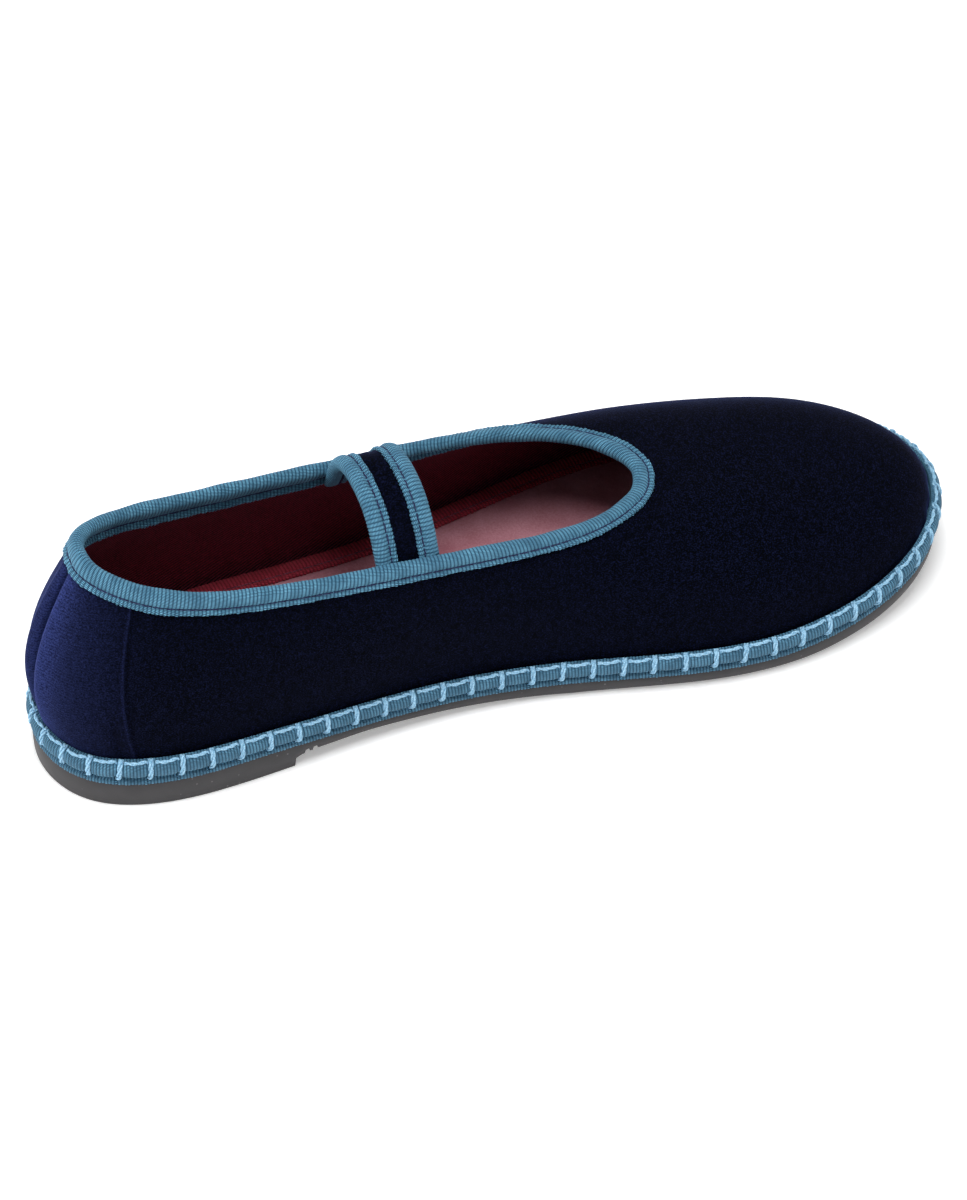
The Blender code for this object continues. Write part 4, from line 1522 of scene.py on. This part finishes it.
@dataclass
class Upper(Part):
    """Velvet wall with its back seam and counter, and the twill that lines it."""

    wall: float = 1.6
    skin: float = 0.8
    columns: int = 1000
    rows: int = 78
    hidden_rows: int = 12
    lining_columns: int = 300
    lining_rows: int = 44
    lining_gap: float = 0.1
    cloth_height: float = 120.0
    seam_depth: float = 2.2
    seam_half_width: float = 1.2
    dent_from: float = 4.0
    dent_run: float = 8.0
    dent_half_width: float = 3.5
    half_swell: float = 1.2
    half_swell_at: float = 4.6
    half_swell_width: float = 3.0
    counter_at: float = 33.5
    counter_bow: float = 3.0
    counter_slope: float = 1.5
    counter_step: float = 0.28
    counter_soft: float = 0.5
    counter_ridge: float = 0.45
    counter_half_width: float = 0.36
    valley: float = 0.8
    valley_at: float = 1.1
    valley_half_width: float = 0.7
    hollow_depth: float = 0.6
    hollow_before: float = 3.4
    hollow_half_width: float = 1.3
    hollow_from: float = 0.62
    hollow_run: float = 0.2
    hollow_to: float = 0.97
    hollow_fade: float = 0.08
    heel_run: float = 46.0
    heel_density: float = 1.3
    heel_soft: float = 3.0
    pucker: float = 0.16
    pucker_reach: float = 4.0
    # Painted light and shade on the pile: the share of painted light kept on the outer side, painted light on
    # the heel's side of the counter's seam, painted shade in the fold and in the valley past the counter, and
    # a painted highlight along the counter's ridge
    painted_light_outer_side: float = 0.5
    painted_light_heel: float = 0.03
    painted_light_heel_soft: float = 1.5
    painted_shade_in_fold: float = 0.75
    painted_shade_valley_half_width: float = 0.8
    painted_highlight_counter: float = 0.2
    painted_highlight_counter_power: float = 0.3

    # Slow waves of the cloth: height, length, how they slant down the wall, and where they start
    WAVES = ((0.16, 17.0, 2.1, 0.0), (0.1, 9.3, -4.0, 1.0))

    # Bands of painted light beside the back seam, where the brushed pile catches the light: strength and half
    # width
    PAINTED_LIGHT_BANDS = ((0.62, 8.0), (0.34, 20.0))

    def from_counter(self, from_seam: Points, down: Points) -> Points:
        """Measure from the counter's bowed seam.

        Args:
            from_seam: the way round from the back seam.
            down: share of the wall down from the collar.

        Returns:
            Millimetres past the seam, below zero on the heel's side.
        """
        bowed = self.counter_at - self.counter_bow * np.sin(np.pi * down) + self.counter_slope * down
        return from_seam - bowed

    def hollow(self, edge: Points, down: Points) -> Points:
        """Find the fold beside the foot of the counter's seam.

        Args:
            edge: distance past that seam.
            down: share of the wall down from the collar.

        Returns:
            Shares of the fold's full depth.
        """
        across = bell(edge + self.hollow_before, self.hollow_half_width)
        begun = np.clip((down - self.hollow_from) / self.hollow_run, 0, 1)
        return across * begun * np.clip((self.hollow_to - down) / self.hollow_fade, 0, 1)

    def relief(self, along: Points, length: float, down: Points, drop: Points, pitch: float,
               phase: float) -> Points:
        """Swells, creases and puckers of the velvet.

        Args:
            along: each column's distance round the sole's edge.
            length: the whole way round.
            down: share of the wall down from the collar, rows by columns.
            drop: the same in millimetres.
            pitch: spacing of the blanket stitches.
            phase: where the first one is, as a share of the pitch.

        Returns:
            Millimetres out of the wall, rows by columns.
        """
        from_seam = np.minimum(along, length - along)
        middle = 4 * down * (1 - down)
        seam = -self.seam_depth * bell(from_seam, self.seam_half_width)
        halves = self.half_swell * bell(from_seam - self.half_swell_at, self.half_swell_width)
        edge = self.from_counter(from_seam, down)
        ridge = bell(edge, self.counter_half_width)
        ridge -= self.valley * bell(edge - self.valley_at, self.valley_half_width)
        counter = self.counter_ridge * ridge - self.counter_step / (1 + np.exp(-edge / self.counter_soft))
        counter -= self.hollow_depth * self.hollow(edge, down)
        near_foot = bell(drop.max(axis=0) - drop, self.pucker_reach)
        pulled = -self.pucker * np.cos(2 * np.pi * (along / pitch - phase)) * near_foot
        wave = sum(high * np.sin(along / long + slant * down + start)
                   for high, long, slant, start in self.WAVES)
        return (seam + halves) * middle + counter * np.minimum(1, 3 * middle) + pulled + wave * middle

    def painted_nap_shading(self, along: Points, length: float, down: Points) -> Points:
        """Say where light and shade are painted on the pile: painted light where the brushed pile beside the
        back seam catches it, a painted highlight along the counter's edge, and painted shade in its fold and
        valley.

        Args:
            along: each column's distance round the sole's edge.
            length: the whole way round.
            down: share of the wall down from the collar, rows by columns.

        Returns:
            Shares, rows by columns.
        """
        from_seam = np.minimum(along, length - along)
        edge = self.from_counter(from_seam, down)
        # Painted light beside the back seam, weaker on the outer side
        side = np.where(along < length / 2, 1.0, self.painted_light_outer_side)
        brushed_pile_painted_light = sum(strength * bell(from_seam, wide) for strength, wide in self.PAINTED_LIGHT_BANDS)
        brushed_pile_painted_light = brushed_pile_painted_light * side + self.painted_light_heel / (1 + np.exp(edge / self.painted_light_heel_soft))
        # Painted shade in the fold and in the valley past the counter
        valley = bell(edge - self.valley_at, self.painted_shade_valley_half_width)
        brushed_pile_painted_light = brushed_pile_painted_light * (1 - self.painted_shade_in_fold * self.hollow(edge, down)) * (1 - self.valley * valley)
        # Painted highlight along the counter's ridge
        ridge = bell(edge, self.counter_half_width)
        return brushed_pile_painted_light + self.painted_highlight_counter * ridge * (1 - down) ** self.painted_highlight_counter_power

    def shell(self, columns: int, rows: int) -> tuple[Points, Points, Points]:
        """Columns and drops of a wall grid, closer round the heel than in front of it.

        Args:
            columns: columns round the foot.
            rows: rows down the wall.

        Returns:
            Distances round the sole's edge of the columns and of the closing one, shares of the loop
            there, and rows by columns of drops.
        """
        _, length = self.last.even_shares(False, 8)
        even = np.linspace(0, length, self.last.dense)
        from_seam = np.minimum(even, length - even)
        density = 1 + self.heel_density / (1 + np.exp((from_seam - self.heel_run) / self.heel_soft))
        counted = np.cumsum(density) - density[0]
        run = np.interp(np.linspace(0, counted[-1], columns + 1), counted, even)
        share = self.last.share_at(run[:-1])
        drop = np.linspace(0, 1, rows)[:, None] * self.last.wall_height(share)[None]
        return run, share, drop

    def velvet(self, pitch: float, phase: float) -> Object:
        """Velvet wall.

        Args:
            pitch: spacing of the blanket stitches that pull at the velvet's foot.
            phase: where the first one is, as a share of the pitch.

        Returns:
            The object, with its attribute of light and shade painted on the pile.
        """
        run, share, drop = self.shell(self.columns, self.rows)
        along, length = run[:-1], run[-1]
        down = np.linspace(0, 1, self.rows)[:, None] * np.ones(self.columns)
        relief = self.relief(along, length, down, drop, pitch, phase)
        outer, _ = self.last.wall(share, drop, -relief)
        back = np.linspace(self.rows - 1, 0, self.hidden_rows).round().astype(int)
        inner, _ = self.last.wall(share, drop[back], self.skin - relief[back])
        across = np.linspace(0, self.cloth_height, self.rows + self.hidden_rows + 1)
        points = np.concatenate([outer, inner])
        velvet = self.make.loft("velvet_upper", points, run, across, Finish.VELVET.get())
        # Light and shade painted on the pile, stored on the mesh
        brushed_pile_painted_light = self.painted_nap_shading(along, length, down)
        painted_nap_shading = velvet.data.attributes.new(PAINTED_NAP_SHADING, "FLOAT", "POINT")
        painted_nap_shading.data.foreach_set("value", np.concatenate([brushed_pile_painted_light, brushed_pile_painted_light[back]]).astype(np.float32).ravel())
        return velvet

    def lining(self) -> Object:
        """Twill inside the velvet, dented along the back seam below the collar's tape.

        Returns:
            The object.
        """
        run, share, drop = self.shell(self.lining_columns, self.lining_rows)
        down = np.linspace(0, 1, self.lining_rows)[:, None]
        from_seam = np.minimum(run, run[-1] - run)[:-1]
        below_tape = np.clip((drop - self.dent_from) / self.dent_run, 0, 1)
        at_seam = np.exp(-(from_seam / self.dent_half_width) ** 4)
        dent = self.seam_depth * at_seam * 4 * down * (1 - down) * below_tape
        outer, _ = self.last.wall(share, drop, self.skin + self.lining_gap + dent)
        inner, _ = self.last.wall(share, drop[::-1], self.wall + dent[::-1])
        across = np.linspace(0, self.cloth_height, 2 * self.lining_rows + 1)
        points = np.concatenate([outer, inner])
        return self.make.loft("twill_lining", points, run, across, Finish.LINING.get())

    def build(self, pitch: float, phase: float) -> None:
        """Model the velvet, pulled in by stitches of a pitch and phase, and its lining."""
        declare(self.velvet(pitch, phase), "velvet", "upper")
        declare(self.lining(), "velvet", "upper")


@dataclass
class Collar(Part):
    """Tape folded over the collar's edge and sewn through."""

    rib: float = 1.0
    section_points: int = 54
    rib_height: float = 0.055
    rib_lean: float = -0.14
    hem_height: float = 0.3
    slack: float = 0.09
    slack_long: float = 4.1
    slack_stray: float = 1.5
    slack_stray_long: float = 23.0
    ripple: float = 0.05
    ripple_long: float = 1.9
    thread: float = 0.18
    thread_out: float = 0.4
    stitch: float = 2.7
    seam_points: int = 600
    seed: int = 3

    # How much of its table width the tape covers outside, along the foot
    FOLD_LINE = ((0.0, 1.1), (0.1, 1.1), (0.16, 0.98), (0.26, 0.86), (0.7, 0.86))

    # Section of the tape: out from the velvet, down from the collar's edge, and how far each corner
    # follows the ribs, the ragged hem and the fold's width
    SECTION = {
        "hem_outside": (0.22, 5.00, 0.6, 1.0, 1.0),
        "hem_lip_outside": (0.60, 4.88, 1.0, 1.0, 1.0),
        "flange_outside": (0.74, 4.25, 1.0, 0.3, 1.0),
        "stitch_outside": (0.26, 3.30, 0.5, 0.0, 1.0),
        "swell_low_outside": (0.78, 2.55, 1.0, 0.0, 1.0),
        "swell_outside": (0.95, 1.40, 1.0, 0.0, 1.0),
        "shoulder_outside": (0.84, 0.25, 1.0, 0.0, 0.0),
        "crown_outside": (0.30, -0.80, 1.0, 0.0, 0.0),
        "crest": (-0.80, -1.20, 1.0, 0.0, 0.0),
        "crown_inside": (-1.90, -0.80, 1.0, 0.0, 0.0),
        "shoulder_inside": (-2.60, 0.10, 1.0, 0.0, 0.0),
        "swell_inside": (-2.76, 1.40, 1.0, 0.0, 0.0),
        "swell_low_inside": (-2.34, 3.30, 1.0, 0.0, 0.0),
        "stitch_inside": (-1.88, 4.40, 0.5, 0.0, 0.0),
        "flange_inside": (-2.75, 5.15, 1.0, 0.3, 0.0),
        "hem_lip_inside": (-3.25, 5.85, 1.0, 1.0, 0.0),
        "hem_inside": (-2.30, 6.30, 0.6, 1.0, 0.0),
        "back_low_inside": (-1.78, 5.0, 0.0, 0.0, 0.0),
        "back_inside": (-1.78, 1.0, 0.0, 0.0, 0.0),
        "back_top_inside": (-1.5, -0.25, 0.0, 0.0, 0.0),
        "back_top_outside": (-0.1, -0.25, 0.0, 0.0, 0.0),
        "back_outside": (0.18, 1.0, 0.0, 0.0, 1.0),
        "back_low_outside": (0.18, 3.6, 0.0, 0.0, 1.0),
    }

    def fold(self, share: Points) -> Points:
        """Share of its table width that the tape covers outside, at shares of the loop."""
        return glide(self.FOLD_LINE, self.last.read(share)[:, 2] / self.last.length)

    def tape(self) -> Object:
        """Ribbed tape round the collar.

        Returns:
            The object.
        """
        _, length = self.last.even_shares(True, 8)
        ribbing = Ribbing(length, self.rib, self.rib_height, self.hem_height, self.seed, lean=self.rib_lean)
        share, length = self.last.even_shares(True, ribbing.count)
        rows, normal, across = section(self.SECTION, self.section_points)
        along = np.arange(ribbing.count) / ribbing.count * length
        stray = self.slack_stray * np.sin(along / self.slack_stray_long)
        slack = self.slack * np.sin(along / self.slack_long + stray)
        slack += self.ripple * np.sin(along / self.ripple_long)
        relief = ribbing.relief(rows[:, 2], rows[:, 3], across[:-1])[:, :-1] + rows[:, 2, None] * slack
        out = rows[:, 0, None] + relief * normal[:, 0, None]
        folded = 1 + rows[:, 4, None] * (self.fold(share) - 1)
        drop = rows[:, 1, None] * folded + relief * normal[:, 1, None]
        points, _ = self.last.wall(share, drop, -out)
        return self.make.loft("collar_tape", points, ribbing.run(), across, Finish.COLLAR_TAPE.get(),
                              lean=self.rib_lean)

    def seams(self) -> Object:
        """Stitches that sew the tape on, outside and inside.

        Returns:
            The object.
        """
        share, _ = self.last.even_shares(True, self.seam_points)
        lines, facing = [], []
        for name, side in (("stitch_outside", 1), ("stitch_inside", -1)):
            out, drop, _, _, follows = self.SECTION[name]
            drops = drop * (1 + follows * (self.fold(share)[None] - 1))
            points, way = self.last.wall(share, drops, -(out + side * self.thread * self.thread_out))
            lines.append(points[0])
            facing.append(side * way[0])
        return self.make.sewn("collar_stitches", lines, facing, Finish.COLLAR_THREAD, self.stitch,
                              self.thread, closed=True)

    def build(self) -> None:
        """Model the collar's tape and sew it."""
        declare(self.tape(), "collar_tape", "collar_binding")
        declare(self.seams(), "collar_tape")


@dataclass
class Sock(Part):
    """Padded leather sock on the midsole's plate, with a tape sewn round its edge."""

    base: float = 5.6
    thickness: float = 2.8
    inset: float = 4.9
    edge_round: float = 0.4
    round_share: float = 0.3
    rungs: int = 110
    rib: float = 1.0
    section_points: int = 26
    rib_height: float = 0.1
    hem_height: float = 0.25
    thread: float = 0.14
    thread_up: float = 0.12
    stitch: float = 2.7
    seam_points: int = 700
    seed: int = 11

    # Section of the tape: in from the sole's edge, up from the rubber, ribs and hem
    SECTION = {
        "edge_foot": (5.0, 8.65, 0.3, 0.0),
        "edge": (4.95, 9.20, 1.0, 0.0),
        "swell_out": (5.8, 9.60, 1.0, 0.0),
        "swell": (7.0, 9.65, 1.0, 0.0),
        "swell_in": (8.3, 9.50, 1.0, 0.0),
        "stitch": (8.9, 9.15, 0.4, 0.0),
        "flange": (9.6, 9.45, 1.0, 0.4),
        "hem": (10.4, 9.20, 1.0, 1.0),
        "hem_foot": (10.4, 8.70, 0.6, 1.0),
        "under": (7.8, 8.62, 0.0, 0.0),
    }

    # How far padding lifts the sock along the foot
    PAD_LINE = ((0.0, 1.4), (0.2, 1.4), (0.32, 0.4), (0.42, -0.5), (0.55, -0.4), (0.75, 0.0), (1.0, 0.0))

    def bed(self, s: Points) -> Points:
        """Height that the sock's sizes are measured from at s."""
        return self.last.seat(s) + glide(self.PAD_LINE, s / self.last.length)

    def lay(self, share: Points, inset: Points, height: Points) -> Points:
        """Lay points on the bed inside the sole's edge.

        Args:
            share: one share of the loop for each column.
            inset: millimetres in from the edge, rows by columns.
            height: millimetres above the bed, rows by columns.

        Returns:
            Rows by columns of points.
        """
        outward = self.last.outward(share)
        plan = self.last.edge(share, 0)[None] - inset[:, :, None] * outward[None]
        bed = self.bed(plan[:, :, 0].ravel()).reshape(inset.shape)
        return np.concatenate([plan, (bed + height)[:, :, None]], axis=2)

    def leather(self) -> Object:
        """Leather sock with a rounded edge.

        Returns:
            The object.
        """
        share = self.make.paired(eased(self.rungs))
        part = self.round_share * self.edge_round
        levels = ((0.0, 0.0), (0.0, -self.edge_round), (part, -part), (self.edge_round, 0.0))
        rings = []
        for k, (inset, height) in enumerate(levels):
            plan = self.last.edge(share, -(self.inset + inset))
            over = self.last.seat(plan[:, 0]) + self.base
            if k:
                over = self.bed(plan[:, 0]) + self.base + self.thickness + height
            rings.append(np.column_stack([plan, over]))
        return self.make.slab("leather_sock", rings, Finish.SOCK_LEATHER.get())

    def tape(self) -> Object:
        """Ribbed tape round the sock's edge.

        Returns:
            The object.
        """
        _, length = self.last.even_shares(False, 8)
        ribbing = Ribbing(length, self.rib, self.rib_height, self.hem_height, self.seed)
        share, _ = self.last.even_shares(False, ribbing.count)
        rows, normal, across = section(self.SECTION, self.section_points)
        relief = ribbing.relief(rows[:, 2], rows[:, 3], across[:-1])[:, :-1]
        inset = rows[:, 0, None] + relief * normal[:, 0, None]
        height = rows[:, 1, None] + relief * normal[:, 1, None]
        points = self.lay(share, inset, height)
        return self.make.loft("sock_tape", points, ribbing.run(), across, Finish.SOCK_TAPE.get())

    def seam(self) -> Object:
        """Stitches that sew the tape on.

        Returns:
            The object.
        """
        share, _ = self.last.even_shares(False, self.seam_points)
        inset, height = self.SECTION["stitch"][:2]
        level = np.ones((1, self.seam_points))
        line = self.lay(share, inset * level, (height + self.thread_up) * level)[0]
        up = np.tile((0.0, 0.0, 1.0), (self.seam_points, 1))
        return self.make.sewn("sock_stitches", [line], [up], Finish.SOCK_THREAD, self.stitch, self.thread,
                              closed=True)

    def build(self) -> None:
        """Model the sock, its tape and its seam."""
        declare(self.leather(), "sock_leather", "insole")
        declare(self.tape(), "sock_tape", "insole_tape")
        declare(self.seam(), "sock_tape")


class StrapEdge(Enum):
    """The strap's two edges, by the side of its middle line that they are on."""

    REAR = -1
    FRONT = 1


@dataclass
class Strap(Part):
    """Velvet strap over the instep with a tape folded over each edge."""

    along: float = 0.385
    crown: float = 13.0
    tuck: float = 5.6
    root_inset: float = 1.2
    lean: float = 0.42
    end_share: float = 0.55
    end_run: float = 7.0
    rise: float = 13.0
    crown_handle: float = 11.0
    rib: float = 1.0
    section_points: int = 44
    rib_height: float = 0.07
    hem_height: float = 0.25
    thread: float = 0.19
    thread_up: float = 0.1
    stitch: float = 2.6
    path_points: int = 120
    half_points: int = 200
    velvet_points: int = 48
    collar_reach: float = 0.5
    seed: int = 20

    # Section of the tape: forward from the strap's middle, up from it, ribs and hem. Its underside
    # mirrors the top.
    TOP = {
        "hem": (2.9, 1.15, 0.6, 1.0),
        "hem_lip": (3.05, 1.60, 1.0, 1.0),
        "flange": (3.7, 1.75, 1.0, 0.3),
        "stitch": (4.5, 1.25, 0.5, 0.0),
        "swell_low": (5.4, 1.85, 1.0, 0.0),
        "swell": (6.6, 1.95, 1.0, 0.0),
        "shoulder": (7.9, 1.50, 1.0, 0.0),
    }
    UNDERSIDE = {name + "_under": (forward, -up, ribs, hem)
                 for name, (forward, up, ribs, hem) in reversed(TOP.items())}
    SECTION = TOP | {"rim": (8.5, 0.0, 1.0, 0.0)} | UNDERSIDE | {
        "back_under": (4.0, -1.0, 0.0, 0.0),
        "back_low": (7.2, -0.95, 0.0, 0.0),
        "back_rim": (7.7, 0.0, 0.0, 0.0),
        "back_high": (7.2, 0.95, 0.0, 0.0),
        "back": (4.0, 1.0, 0.0, 0.0),
    }
    VELVET_SECTION = {
        "rear_low": (-7.2, -0.7), "low": (0.0, -0.8), "front_low": (7.2, -0.7), "front": (7.4, 0.0),
        "front_high": (7.2, 0.7), "front_crown": (2.5, 1.0), "crown": (0.0, 1.15), "rear_crown": (-2.5, 1.0),
        "rear_high": (-7.2, 0.7), "rear": (-7.4, 0.0),
    }

    def path(self, count: int) -> tuple[Points, Points, float]:
        """Middle line of the strap across the instep.

        Args:
            count: points wanted.

        Returns:
            Points and facing directions, as n and z, and the line's length.
        """
        top = self.last.read(np.arange(self.last.dense) / self.last.dense)[:, 2:5]
        near = np.abs(top[:, 0] - self.along * self.last.length) < self.collar_reach
        medial = top[near & (top[:, 1] > 0)].mean(axis=0)[1:]
        lateral = top[near & (top[:, 1] < 0)].mean(axis=0)[1:]
        crown = (medial + lateral) / 2 + (0, self.crown)
        halves = []
        for collar, side in ((medial, 1), (lateral, -1)):
            root = collar + (-side * self.root_inset, -self.tuck)
            lift = root + np.array([-side * self.lean, 1]) * self.rise
            handle = crown + (side * self.crown_handle, 0)
            t = np.linspace(0, 1, self.half_points)[:, None]
            halves.append(bezier(root, lift, handle, crown, t))
        fine = np.concatenate([halves[0], halves[1][-2::-1]])
        run = running_length(fine)
        even = np.linspace(0, run[-1], count)
        line = np.column_stack([np.interp(even, run, fine[:, 0]), np.interp(even, run, fine[:, 1])])
        way = unit(np.gradient(line, axis=0))
        return line, np.column_stack([way[:, 1], -way[:, 0]]), float(run[-1])

    def lay(self, across: Points, up: Points, line: Points, facing: Points) -> Points:
        """Lay section rows along the strap, thinner where its ends are sewn in.

        Args:
            across: millimetres forward of the strap's middle, by rows or rows by columns.
            up: millimetres up from its middle line, rows by columns.
            line: the middle line.
            facing: the ways that it faces.

        Returns:
            Rows by columns of points.
        """
        s = self.along * self.last.length + across + np.zeros(up.shape)
        run = running_length(line)
        from_end = np.clip(np.minimum(run, run[-1] - run) / self.end_run, 0, 1)
        thin = self.end_share + (1 - self.end_share) * from_end * (2 - from_end)
        return np.concatenate([s[:, :, None], line[None] + (up * thin)[:, :, None] * facing[None]], axis=2)

    def velvet(self) -> Object:
        """Velvet band, slightly crowned.

        Returns:
            The object.
        """
        rows, _, across = section(self.VELVET_SECTION, self.velvet_points)
        line, facing, length = self.path(self.path_points)
        points = self.lay(rows[:, 0, None], rows[:, 1, None] + np.zeros(self.path_points), line, facing)
        along = np.linspace(0, length, self.path_points)
        return self.make.loft("velvet_strap", points, along, across, Finish.VELVET.get(), closed=False)

    def tape(self, edge: StrapEdge) -> Object:
        """Ribbed tape folded over one edge of the strap.

        Args:
            edge: which edge.

        Returns:
            The object.
        """
        seed = self.seed + edge.value
        ribbing = Ribbing(self.path(8)[2], self.rib, self.rib_height, self.hem_height, seed)
        line, facing, _ = self.path(ribbing.count + 1)
        rows, normal, across = section(self.SECTION, self.section_points)
        relief = ribbing.relief(rows[:, 2], rows[:, 3], across[:-1])
        forward = edge.value * (rows[:, 0, None] + relief * normal[:, 0, None])
        points = self.lay(forward, rows[:, 1, None] + relief * normal[:, 1, None], line, facing)
        name = "strap_tape_" + edge.name.lower()
        return self.make.loft(name, points, ribbing.run(), across, Finish.COLLAR_TAPE.get(), closed=False)

    def seams(self) -> Object:
        """Stitches that sew both tapes on.

        Returns:
            The object.
        """
        line, facing, _ = self.path(self.path_points)
        level = np.ones((1, self.path_points))
        lines, ways = [], []
        for edge in StrapEdge:
            for name, side in (("stitch", 1), ("stitch_under", -1)):
                forward, up = self.SECTION[name][:2]
                up += side * self.thread_up
                lines.append(self.lay(edge.value * forward * level, up * level, line, facing)[0])
                ways.append(side * np.column_stack([np.zeros(self.path_points), facing]))
        return self.make.sewn("strap_stitches", lines, ways, Finish.COLLAR_THREAD, self.stitch, self.thread)

    def build(self) -> None:
        """Model the strap, its tapes and its seams."""
        declare(self.velvet(), "velvet", "strap")
        for edge in StrapEdge:
            declare(self.tape(edge), "collar_tape", "strap_binding_" + edge.name.lower())
        declare(self.seams(), "collar_tape")


@dataclass
class Studio:
    """Pale floor, soft lights and a camera at the photograph's place."""

    image: tuple[int, int] = (967, 1200)
    sensor: float = 36.0
    eye: tuple[float, float, float] = (-1.010, 0.401, 1.0945)
    margin: float = 1.06
    pool_radius: float = 0.8
    floor_radius: float = 2.4
    sweep_radius: float = 1.2
    sweep_steps: int = 13
    sweep_sides: int = 96
    sky: str = "#ffffff"
    sky_strength: float = 0.22

    # Lamps: where each stands, its width and its power
    LAMPS = {
        "overhead": ((-0.1, 0.1, 1.6), 0.9, 24.0),
        "heel_side": ((0.2, 1.4, 0.7), 1.0, 9.0),
    }

    def floor(self) -> None:
        """Lay a round floor, lit in its middle, that glows outside it and sweeps up into a backdrop."""
        bend = np.linspace(0, np.pi / 2, self.sweep_steps)
        sides = np.linspace(0, 2 * np.pi, self.sweep_sides, endpoint=False)
        radius = np.append(self.pool_radius, self.floor_radius + self.sweep_radius * np.sin(bend))[:, None]
        height = np.append(0.0, self.sweep_radius * (1 - np.cos(bend)))[:, None] + np.zeros(self.sweep_sides)
        points = np.stack([radius * np.cos(sides), radius * np.sin(sides), height], axis=-1)
        faces = [tuple(range(self.sweep_sides))]
        for base in range(0, self.sweep_steps * self.sweep_sides, self.sweep_sides):
            faces += [quad[::-1] for quad in ring_faces(self.sweep_sides, base, base + self.sweep_sides)]
        mesh = bpy.data.meshes.new("floor")
        mesh.from_pydata(points.reshape(-1, 3).tolist(), [], faces)
        mesh.shade_smooth()
        for finish in (Finish.FLOOR, Finish.BACKDROP):
            mesh.materials.append(finish.get())
        mesh.polygons.foreach_set("material_index", [0] + [1] * (len(faces) - 1))
        put("floor", mesh)

    def lights(self) -> None:
        """Hang the lamps and light the room."""
        for name, (place, width, power) in self.LAMPS.items():
            lamp = bpy.data.lights.new(name, "AREA")
            lamp.size, lamp.energy = width, power
            holder = put(name, lamp)
            holder.location = place
            holder.rotation_euler = (-Vector(place)).to_track_quat("-Z", "Y").to_euler()
        world = bpy.data.worlds.new("studio")
        world.use_nodes = True
        feed(world.node_tree.nodes["Background"], {"Color": self.sky, "Strength": self.sky_strength})
        bpy.context.scene.world = world
        bpy.context.scene.view_settings.view_transform = "Standard"

    def camera(self) -> None:
        """Stand the camera where the photograph was taken and frame the whole shoe."""
        points = np.array([v.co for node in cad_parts.values() for v in node.data.vertices])
        eye = Vector(self.eye)
        ahead = (Vector(points.mean(axis=0)) - eye).normalized()
        for _ in range(4):
            turn = ahead.to_track_quat("-Z", "Y").to_matrix()
            seen = (points - np.array(eye)) @ np.array(turn)
            flat = seen[:, :2] / -seen[:, 2:]
            middle = (flat.min(axis=0) + flat.max(axis=0)) / 2
            ahead = (turn @ Vector((*middle, -1.0))).normalized()
        spread = (flat.max(axis=0) - flat.min(axis=0)) * self.margin
        focal = min(self.image[0] / spread[0], self.image[1] / spread[1])
        data = bpy.data.cameras.new("photo_camera")
        data.sensor_width = self.sensor
        data.lens = focal / max(self.image) * self.sensor
        camera = put("photo_camera", data)
        camera.matrix_world = Matrix.Translation(eye) @ ahead.to_track_quat("-Z", "Y").to_matrix().to_4x4()
        bpy.context.scene.camera = camera

    def build(self) -> None:
        """Set up floor, lights and camera."""
        self.floor()
        self.lights()
        self.camera()


def main() -> None:
    """Build the shoe's sub-assemblies in order, then the studio round them."""
    logging.basicConfig(level=logging.INFO, format="%(message)s")
    make = Maker(Last())
    Studio().build()
    Outsole(make).build()
    midsole = Midsole(make)
    midsole.build()
    Upper(make).build(midsole.pitch, midsole.bar_phase)
    Collar(make).build()
    Sock(make).build()
    Strap(make).build()


if __name__ == "__main__":
    main()
